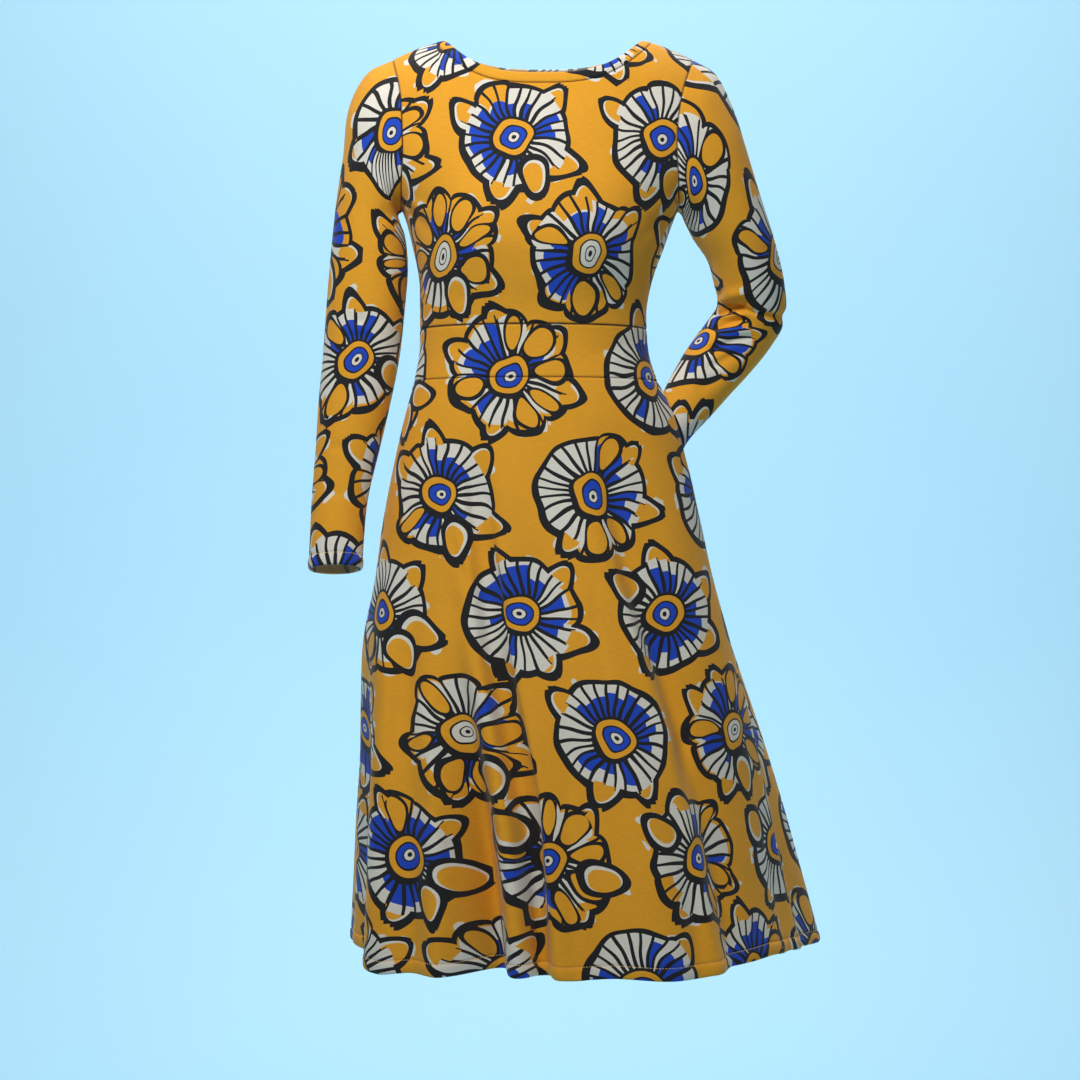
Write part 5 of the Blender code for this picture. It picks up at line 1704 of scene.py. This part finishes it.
def cloth_print(tree):
    """The colour of the print, from the attributes of the cloth."""
    flat = add_node(tree, "Attribute", attribute_name="cloth").outputs["Vector"]
    place = add_node(tree, "Attribute", attribute_name="flower").outputs["Vector"]
    form = add_node(tree, "Attribute", attribute_name="flower_form").outputs["Vector"]
    closed = add_node(tree, "Attribute", attribute_name="buds_closed").outputs["Vector"]
    closed = add_node(tree, "SeparateXYZ", closed)
    shake = add_node(tree, "TexNoise", flat, None, 30.0, 0.0).outputs["Color"]
    moved, radius, angle, forms, seed = wheel(tree, place, form, shake)
    openness, white_disc = forms.outputs["X"], forms.outputs["Y"]

    direction = add_node(tree, "VectorMath", moved, operation="NORMALIZE")
    apart = add_node(tree, "CombineXYZ", 0.0, 0.0, seed)
    direction = add_node(tree, "VectorMath", direction, apart, operation="ADD")
    uneven = add_node(tree, "TexNoise", direction, None, 1.3, 0.0).outputs[0]

    petal, petal_across = sector(tree, angle, PETALS, seed, uneven)
    petal_chance = chance(tree, petal, seed)
    lobe, lobe_across = sector(tree, angle, LOBES, seed, uneven)
    lobe_chance = chance(tree, lobe, add_node(tree, "Math", seed, 3.7, operation="ADD"))

    is_open = smaller(tree, lobe_chance.outputs["Red"], openness)
    lobe_side = add_node(tree, "Math", lobe_across, math.pi, operation="MULTIPLY")
    scallop = add_node(tree, "Math", add_node(tree, "Math", lobe_side, operation="SINE"), 0.6, operation="POWER")
    swell = add_node(tree, "Math", lobe_chance.outputs["Green"], 7.0, 6.0, operation="MULTIPLY_ADD")
    swell = add_node(tree, "Math", swell, add_node(tree, "Math", scallop, is_open, operation="MULTIPLY"), operation="MULTIPLY")
    rim = add_node(tree, "Math", uneven, 6.0, RIM_MM - 4.0, operation="MULTIPLY_ADD")
    rim = add_node(tree, "Math", rim, swell, operation="ADD")

    heavy = add_node(tree, "Math", add_node(tree, "Math", angle, HEAVY_SIDE, operation="SUBTRACT"), operation="COSINE")
    heavy = add_node(tree, "Math", heavy, 0.0, operation="MAXIMUM")
    line = add_node(tree, "Math", heavy, OUTLINE_HEAVY_MM, OUTLINE_MM, operation="MULTIPLY_ADD")

    outside = add_node(tree, "Math", radius, rim, operation="SUBTRACT")
    union = outside
    in_bud = None
    bud_fill = None
    bud_drawings = []
    for number in range(len(BUD_SPOTS)):
        spot = add_node(tree, "Attribute", attribute_name=f"bud_{number}").outputs["Vector"]
        spot = add_node(tree, "VectorMath", shake, (BUD_SHAKE, BUD_SHAKE, 0.0), spot, operation="MULTIPLY_ADD")
        xy = add_node(tree, "SeparateXYZ", spot)
        taper = add_node(tree, "Math", xy.outputs["X"], -0.22, 1.0, operation="MULTIPLY_ADD")
        beside = add_node(tree, "Math", xy.outputs["Y"], taper, operation="DIVIDE")
        leaf = add_node(tree, "CombineXYZ", xy.outputs["X"], beside)
        leaf_radius = add_node(tree, "VectorMath", leaf, operation="LENGTH").outputs["Value"]
        leaf_outside = add_node(tree, "Math", leaf_radius, 13.0, -13.0, operation="MULTIPLY_ADD")
        inset = add_node(tree, "VectorMath", leaf, (1.14, 1.14, 0.0), (-0.06, 0.15, 0.0), operation="MULTIPLY_ADD")
        inset = add_node(tree, "VectorMath", inset, operation="LENGTH").outputs["Value"]
        filled = smaller(tree, inset, 1.0)
        bud_fill = filled if bud_fill is None else add_node(tree, "Math", bud_fill, filled, operation="MAXIMUM")
        here = smaller(tree, leaf_outside, 0.0)
        in_bud = here if in_bud is None else add_node(tree, "Math", in_bud, here, operation="MAXIMUM")
        union = add_node(tree, "Math", union, leaf_outside, operation="MINIMUM")
        if number in MAY_BE_CLOSED:
            shown = closed.outputs[number - MAY_BE_CLOSED[0]]
            edge = add_node(tree, "Math", smaller(tree, leaf_outside, 5.4), shown, operation="MULTIPLY")
            inner = add_node(tree, "Math", here, shown, operation="MULTIPLY")
            bud_drawings.append((edge, inner, filled))

    blue_group = add_node(tree, "Math", add_node(tree, "Math", petal, 0.4, operation="MULTIPLY"), operation="FLOOR")
    blue_group = chance(tree, blue_group, add_node(tree, "Math", seed, 9.1, operation="ADD")).outputs["Red"]
    blue_share = add_node(tree, "Math", petal_chance.outputs["Red"], 0.55, blue_group, operation="MULTIPLY_ADD")
    is_blue = add_node(tree, "Math", blue_share, 0.86, operation="GREATER_THAN")
    short_by = add_node(tree, "Math", petal_chance.outputs["Green"], 19.0, -22.0, operation="MULTIPLY_ADD")
    blue_end = add_node(tree, "Math", rim, short_by, operation="ADD")
    is_blue = add_node(tree, "Math", is_blue, smaller(tree, radius, blue_end), operation="MULTIPLY")
    colour = add_node(tree, "MixRGB", is_blue, DYES["white"], DYES["blue"])

    tip_start = add_node(tree, "Math", lobe_chance.outputs["Blue"], -22.0, 4.0, operation="MULTIPLY_ADD")
    tip_start = add_node(tree, "Math", rim, tip_start, operation="ADD")
    tip = add_node(tree, "Math", smaller(tree, tip_start, radius), is_open, operation="MULTIPLY")
    colour = add_node(tree, "MixRGB", tip, colour, DYES["orange"])

    half_petal = add_node(tree, "Math", petal_across, 0.5, operation="SUBTRACT")
    half_petal = add_node(tree, "Math", half_petal, operation="ABSOLUTE")
    to_spoke = add_node(tree, "Math", 0.5, half_petal, operation="SUBTRACT")
    to_spoke = add_node(tree, "Math", to_spoke, radius, operation="MULTIPLY")
    to_spoke = add_node(tree, "Math", to_spoke, 2 * math.pi / PETALS, operation="MULTIPLY")
    spoke = add_node(tree, "MapRange", radius, PETAL_START_MM, RIM_MM, 2.15, 1.6)
    spoke_long = add_node(tree, "Math", petal_chance.outputs["Blue"], 14.0, rim, operation="MULTIPLY_ADD")
    on_spoke = add_node(tree, "Math", smaller(tree, to_spoke, spoke), smaller(tree, radius, spoke_long), operation="MULTIPLY")
    colour = add_node(tree, "MixRGB", on_spoke, colour, DYES["black"])

    oval_high = add_node(tree, "Math", radius, rim, operation="SUBTRACT")
    oval_high = add_node(tree, "Math", oval_high, 1 / 19.0, 1.12, operation="MULTIPLY_ADD")
    oval_wide = add_node(tree, "Math", add_node(tree, "Math", lobe_across, 0.5, operation="SUBTRACT"), 3.3, operation="MULTIPLY")
    oval = add_node(tree, "VectorMath", add_node(tree, "CombineXYZ", oval_high, oval_wide), operation="LENGTH").outputs["Value"]
    oval_shown = add_node(tree, "Math", smaller(tree, 0.35, lobe_chance.outputs["Green"]), is_open, operation="MULTIPLY")
    oval_edge = add_node(tree, "Math", smaller(tree, oval, 1.30), oval_shown, operation="MULTIPLY")
    oval_inner = add_node(tree, "Math", smaller(tree, oval, 1.0), oval_shown, operation="MULTIPLY")
    colour = add_node(tree, "MixRGB", oval_edge, colour, DYES["black"])
    colour = add_node(tree, "MixRGB", oval_inner, colour, DYES["orange"])

    beyond = add_node(tree, "Math", petal_chance.outputs["Green"], 12.0, -4.0, operation="MULTIPLY_ADD")
    beyond = smaller(tree, beyond, outside)
    leaf_colour = add_node(tree, "MixRGB", bud_fill, DYES["white"], DYES["orange"])
    colour = add_node(tree, "MixRGB", add_node(tree, "Math", beyond, in_bud, operation="MULTIPLY"), colour, leaf_colour)

    blot = add_node(tree, "TexNoise", flat, None, 34.0, 1.0).outputs[0]
    halo_reach = add_node(tree, "Math", blot, 70.0, -43.0, operation="MULTIPLY_ADD")
    halo_reach = add_node(tree, "Math", halo_reach, 5.0, operation="MINIMUM")
    halo_reach = add_node(tree, "Math", line, halo_reach, operation="ADD")
    ground = add_node(tree, "MixRGB", smaller(tree, union, halo_reach), DYES["orange"], DYES["white"])
    ground = add_node(tree, "MixRGB", smaller(tree, union, line), ground, DYES["black"])
    colour = add_node(tree, "MixRGB", smaller(tree, union, 0.0), ground, colour)

    squeezed = add_node(tree, "Math", uneven, 0.14, 0.93, operation="MULTIPLY_ADD")
    ring_at = add_node(tree, "Math", radius, squeezed, operation="MULTIPLY")
    black_to = add_node(tree, "Math", heavy, 4.5, PETAL_START_MM, operation="MULTIPLY_ADD")
    colour = add_node(tree, "MixRGB", smaller(tree, ring_at, black_to), colour, DYES["black"])
    share = add_node(tree, "Math", ring_at, RING_SPAN_MM, operation="DIVIDE")
    discs = []
    for choice in (1, 2):
        ramp = add_node(tree, "ValToRGB", share)
        ramp.color_ramp.interpolation = "CONSTANT"
        while len(ramp.color_ramp.elements) < len(RINGS_MM):
            ramp.color_ramp.elements.new(1.0)
        for element, ring in zip(ramp.color_ramp.elements, RINGS_MM):
            element.position = ring[0] / RING_SPAN_MM
            element.color = DYES[ring[choice]]
        discs.append(ramp)
    disc = add_node(tree, "MixRGB", white_disc, *discs)
    colour = add_node(tree, "MixRGB", smaller(tree, ring_at, PETAL_START_MM - 1.0), colour, disc)

    for edge, inner, filled in bud_drawings:
        in_leaf = add_node(tree, "MixRGB", filled, DYES["white"], DYES["orange"])
        colour = add_node(tree, "MixRGB", edge, colour, DYES["black"])
        colour = add_node(tree, "MixRGB", inner, colour, in_leaf)
    return flat, colour


# %% [markdown]
# A knit has fine ribs along its length and uneven yarn across it, so the surface has short level
# slubs. They are under half a millimetre thick on the real cloth and are drawn twice as thick here, so
# that they show. The back of the cloth is paler, because the dye was put on from the face.

# %% The printed jersey
SLUB_LONG = 0.011
SLUB_THICK = 0.0011
RIB_APART = 0.0016


def jersey_finish(tree, shader, flat, colour, reverse_share):
    """The knit of the cloth, its paler reverse, and painted shade that darkens the colour along each seam."""
    reverse = add_node(tree, "Attribute", attribute_name="reverse").outputs["Fac"]
    faded = add_node(tree, "Math", reverse, reverse_share, operation="MULTIPLY")
    colour = add_node(tree, "MixRGB", faded, colour, DYES["white"])
    yarn_place = add_node(tree, "VectorMath", flat, (1 / SLUB_LONG, 1 / SLUB_THICK, 0.0), operation="MULTIPLY")
    slub = add_node(tree, "TexNoise", yarn_place, None, 1.0, 3.0, 0.6).outputs[0]
    tone = add_node(tree, "MapRange", slub, 0.25, 0.75, 0.90, 1.07)
    patch = add_node(tree, "TexNoise", flat, None, 14.0, 2.0).outputs[0]
    patch = add_node(tree, "MapRange", patch, 0.3, 0.7, 0.96, 1.03)
    tone = add_node(tree, "Math", tone, patch, operation="MULTIPLY")
    toned = add_node(tree, "VectorMath", colour, tone, operation="SCALE")
    tree.links.new(tone.outputs[0], toned.inputs["Scale"])
    # Painted shade: the colour is darkened to black along each seam, where its groove would be in shade.
    seam = add_node(tree, "Attribute", attribute_name="painted_seam_shade").outputs["Fac"]
    colour = add_node(tree, "MixRGB", seam, toned, DYES["black"])
    tree.links.new(colour.outputs[0], shader.inputs["Base Color"])
    rib_place = add_node(tree, "SeparateXYZ", flat)
    rib = add_node(tree, "Math", rib_place.outputs["X"], 2 * math.pi / RIB_APART, operation="MULTIPLY")
    rib = add_node(tree, "Math", add_node(tree, "Math", rib, operation="SINE"), 0.25, slub, operation="MULTIPLY_ADD")
    bump = add_node(tree, "Bump", 0.28, 0.0006)
    tree.links.new(rib.outputs[0], bump.inputs["Height"])
    tree.links.new(bump.outputs[0], shader.inputs["Normal"])
    rough = add_node(tree, "MapRange", slub, 0.2, 0.8, 0.72, 0.9)
    tree.links.new(rough.outputs[0], shader.inputs["Roughness"])
    shader.inputs["IOR"].default_value = 1.53
    shader.inputs["Specular IOR Level"].default_value = 0.3
    shader.inputs["Sheen Weight"].default_value = 0.12
    shader.inputs["Sheen Roughness"].default_value = 0.5


printed_jersey, jersey_shader = new_material("wax_printed_cotton_jersey")
jersey_tree = printed_jersey.node_tree
jersey_flat, jersey_colour = cloth_print(jersey_tree)
jersey_finish(jersey_tree, jersey_shader, jersey_flat, jersey_colour, 0.35)

pocketing, pocketing_shader = new_material("plain_dyed_cotton_pocketing")
pocket_tree = pocketing.node_tree
pocket_flat = add_node(pocket_tree, "Attribute", attribute_name="cloth").outputs["Vector"]
pocket_colour = add_node(pocket_tree, "MixRGB", 0.0, DYES["pocketing"], DYES["pocketing"])
jersey_finish(pocket_tree, pocketing_shader, pocket_flat, pocket_colour, 0.15)
print("nodes in the print:", len(jersey_tree.nodes))

# %% [markdown]
# ## Putting the dress together
# Each piece is now made, given its cloth and hung from the root, and the solid of the same name is hidden.

# %% The eleven pieces of cloth


for name in sorted(pieces):
    cloth = make_cloth(name)
    cloth.data.materials.append(pocketing if name.startswith("pocket") else printed_jersey)
    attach(cloth, "root")
    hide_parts(name)

# %% [markdown]
# ## Hem and cuff stitching
# The turned hems are held by a row of small even stitches, 14 mm above the edge. Each stitch could be
# modelled by hand, but there are hundreds, so Geometry Nodes walks along the line of the seam and sets
# one bead of thread at every step. The result is turned into a plain mesh.

# %% Lines of stitching
STITCH_LENGTH = 0.0026
STITCH_GAP = 0.0009
THREAD_THICKNESS = 0.0009
STITCH_UP = HEM_TURN * STITCH_SHARE


def stitch_line(name):
    """The points of one line of stitching, on the outer face of a piece, in order of its columns."""
    piece = pieces[name]
    outer = skins(name, piece)[0]
    rows = outer if piece["free"] == "first" else outer[::-1]
    normals = piece["normals"] if piece["free"] == "first" else piece["normals"][::-1]
    up = walked(rows, 0)
    points = []
    for c in range(rows.shape[1]):
        place = [np.interp(STITCH_UP, up[:, c], rows[:, c, axis]) for axis in range(3)]
        row = int(np.searchsorted(up[:, c], STITCH_UP))
        points.append(np.array(place) + normals[row, c] * THREAD_THICKNESS * 0.2)
    return points


hem_loop = stitch_line("skirt_front")[1:-1] + stitch_line("skirt_back")[1:-1]
loops = [hem_loop, stitch_line("sleeve_right"), stitch_line("sleeve_left")]
line_points = [tuple(point) for loop in loops for point in loop]
line_edges = []
start = 0
for loop in loops:
    line_edges += [(start + i, start + (i + 1) % len(loop)) for i in range(len(loop))]
    start += len(loop)
line_mesh = bpy.data.meshes.new("stitch_lines")
line_mesh.from_pydata(line_points, line_edges, [])
print("points along the stitching:", len(line_points))

# %% [markdown]
# Each stitch is a small bead, as long as the stitch and turned along the seam. The line of the seam is
# cut into even steps and a bead is put at each, so one tree serves the hem and both cuffs.

# %% A bead of thread at every step
thread, thread_shader = new_material("spun_polyester_thread")
thread_shader.inputs["Roughness"].default_value = 0.6
thread_shader.inputs["Sheen Weight"].default_value = 0.1
thread_places = add_node(thread.node_tree, "TexCoord").outputs["Object"]
thread_twist = add_node(thread.node_tree, "TexNoise", thread_places, None, 900.0, 1.0)
thread_tone = add_node(thread.node_tree, "MixRGB", thread_twist, DYES["thread"], srgb("#F7DA9C"))
thread.node_tree.links.new(thread_tone.outputs[0], thread_shader.inputs["Base Color"])


def stitch_tree():
    tree = bpy.data.node_groups.new("row_of_stitches", "GeometryNodeTree")
    tree.is_modifier = True
    tree.interface.new_socket("Seam Line", in_out="INPUT", socket_type="NodeSocketGeometry")
    for label in ("Stitch Length", "Stitch Gap", "Thread Thickness"):
        tree.interface.new_socket(label, in_out="INPUT", socket_type="NodeSocketFloat")
    tree.interface.new_socket("Thread", in_out="INPUT", socket_type="NodeSocketMaterial")
    tree.interface.new_socket("Stitches", in_out="OUTPUT", socket_type="NodeSocketGeometry")
    given = add_node(tree, "NodeGroupInput").outputs
    line = add_node(tree, "GeometryNodeMeshToCurve", given["Seam Line"])
    step = add_node(tree, "Math", given["Stitch Length"], given["Stitch Gap"], operation="ADD")
    stepped = add_node(tree, "GeometryNodeResampleCurve", line, mode="LENGTH")
    tree.links.new(step.outputs[0], stepped.inputs["Length"])
    bead = add_node(tree, "GeometryNodeMeshUVSphere", 6, 4, 0.5)
    size = add_node(tree, "CombineXYZ", given["Stitch Length"], given["Thread Thickness"], given["Thread Thickness"])
    along = add_node(tree, "GeometryNodeInputTangent")
    turned = add_node(tree, "FunctionNodeAlignRotationToVector", None, None, along, axis="X")
    beads = add_node(tree, "GeometryNodeInstanceOnPoints", stepped)
    tree.links.new(bead.outputs["Mesh"], beads.inputs["Instance"])
    tree.links.new(turned.outputs[0], beads.inputs["Rotation"])
    tree.links.new(size.outputs[0], beads.inputs["Scale"])
    smooth = add_node(tree, "GeometryNodeSetShadeSmooth", add_node(tree, "GeometryNodeRealizeInstances", beads))
    threaded = add_node(tree, "GeometryNodeSetMaterial", smooth, None, given["Thread"])
    add_node(tree, "NodeGroupOutput", threaded)
    return tree


stitch_nodes = stitch_tree()
stitch_maker = bpy.data.objects.new("stitch_maker", line_mesh)
bpy.context.scene.collection.objects.link(stitch_maker)
modifier = stitch_maker.modifiers.new("stitches", "NODES")
modifier.node_group = stitch_nodes
sizes = {"Stitch Length": STITCH_LENGTH, "Stitch Gap": STITCH_GAP, "Thread Thickness": THREAD_THICKNESS, "Thread": thread}
for socket in stitch_nodes.interface.items_tree:
    if socket.name in sizes:
        modifier[socket.identifier] = sizes[socket.name]
bpy.context.view_layer.update()
evaluated = stitch_maker.evaluated_get(bpy.context.evaluated_depsgraph_get())
stitch_mesh = bpy.data.meshes.new_from_object(evaluated)
stitch_maker.modifiers.remove(modifier)
bpy.data.objects.remove(stitch_maker)
stitches = bpy.data.objects.new("hem_and_cuff_stitches", stitch_mesh)
bpy.context.scene.collection.objects.link(stitches)
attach(stitches, "root")
print("faces in the stitching:", len(stitch_mesh.polygons))
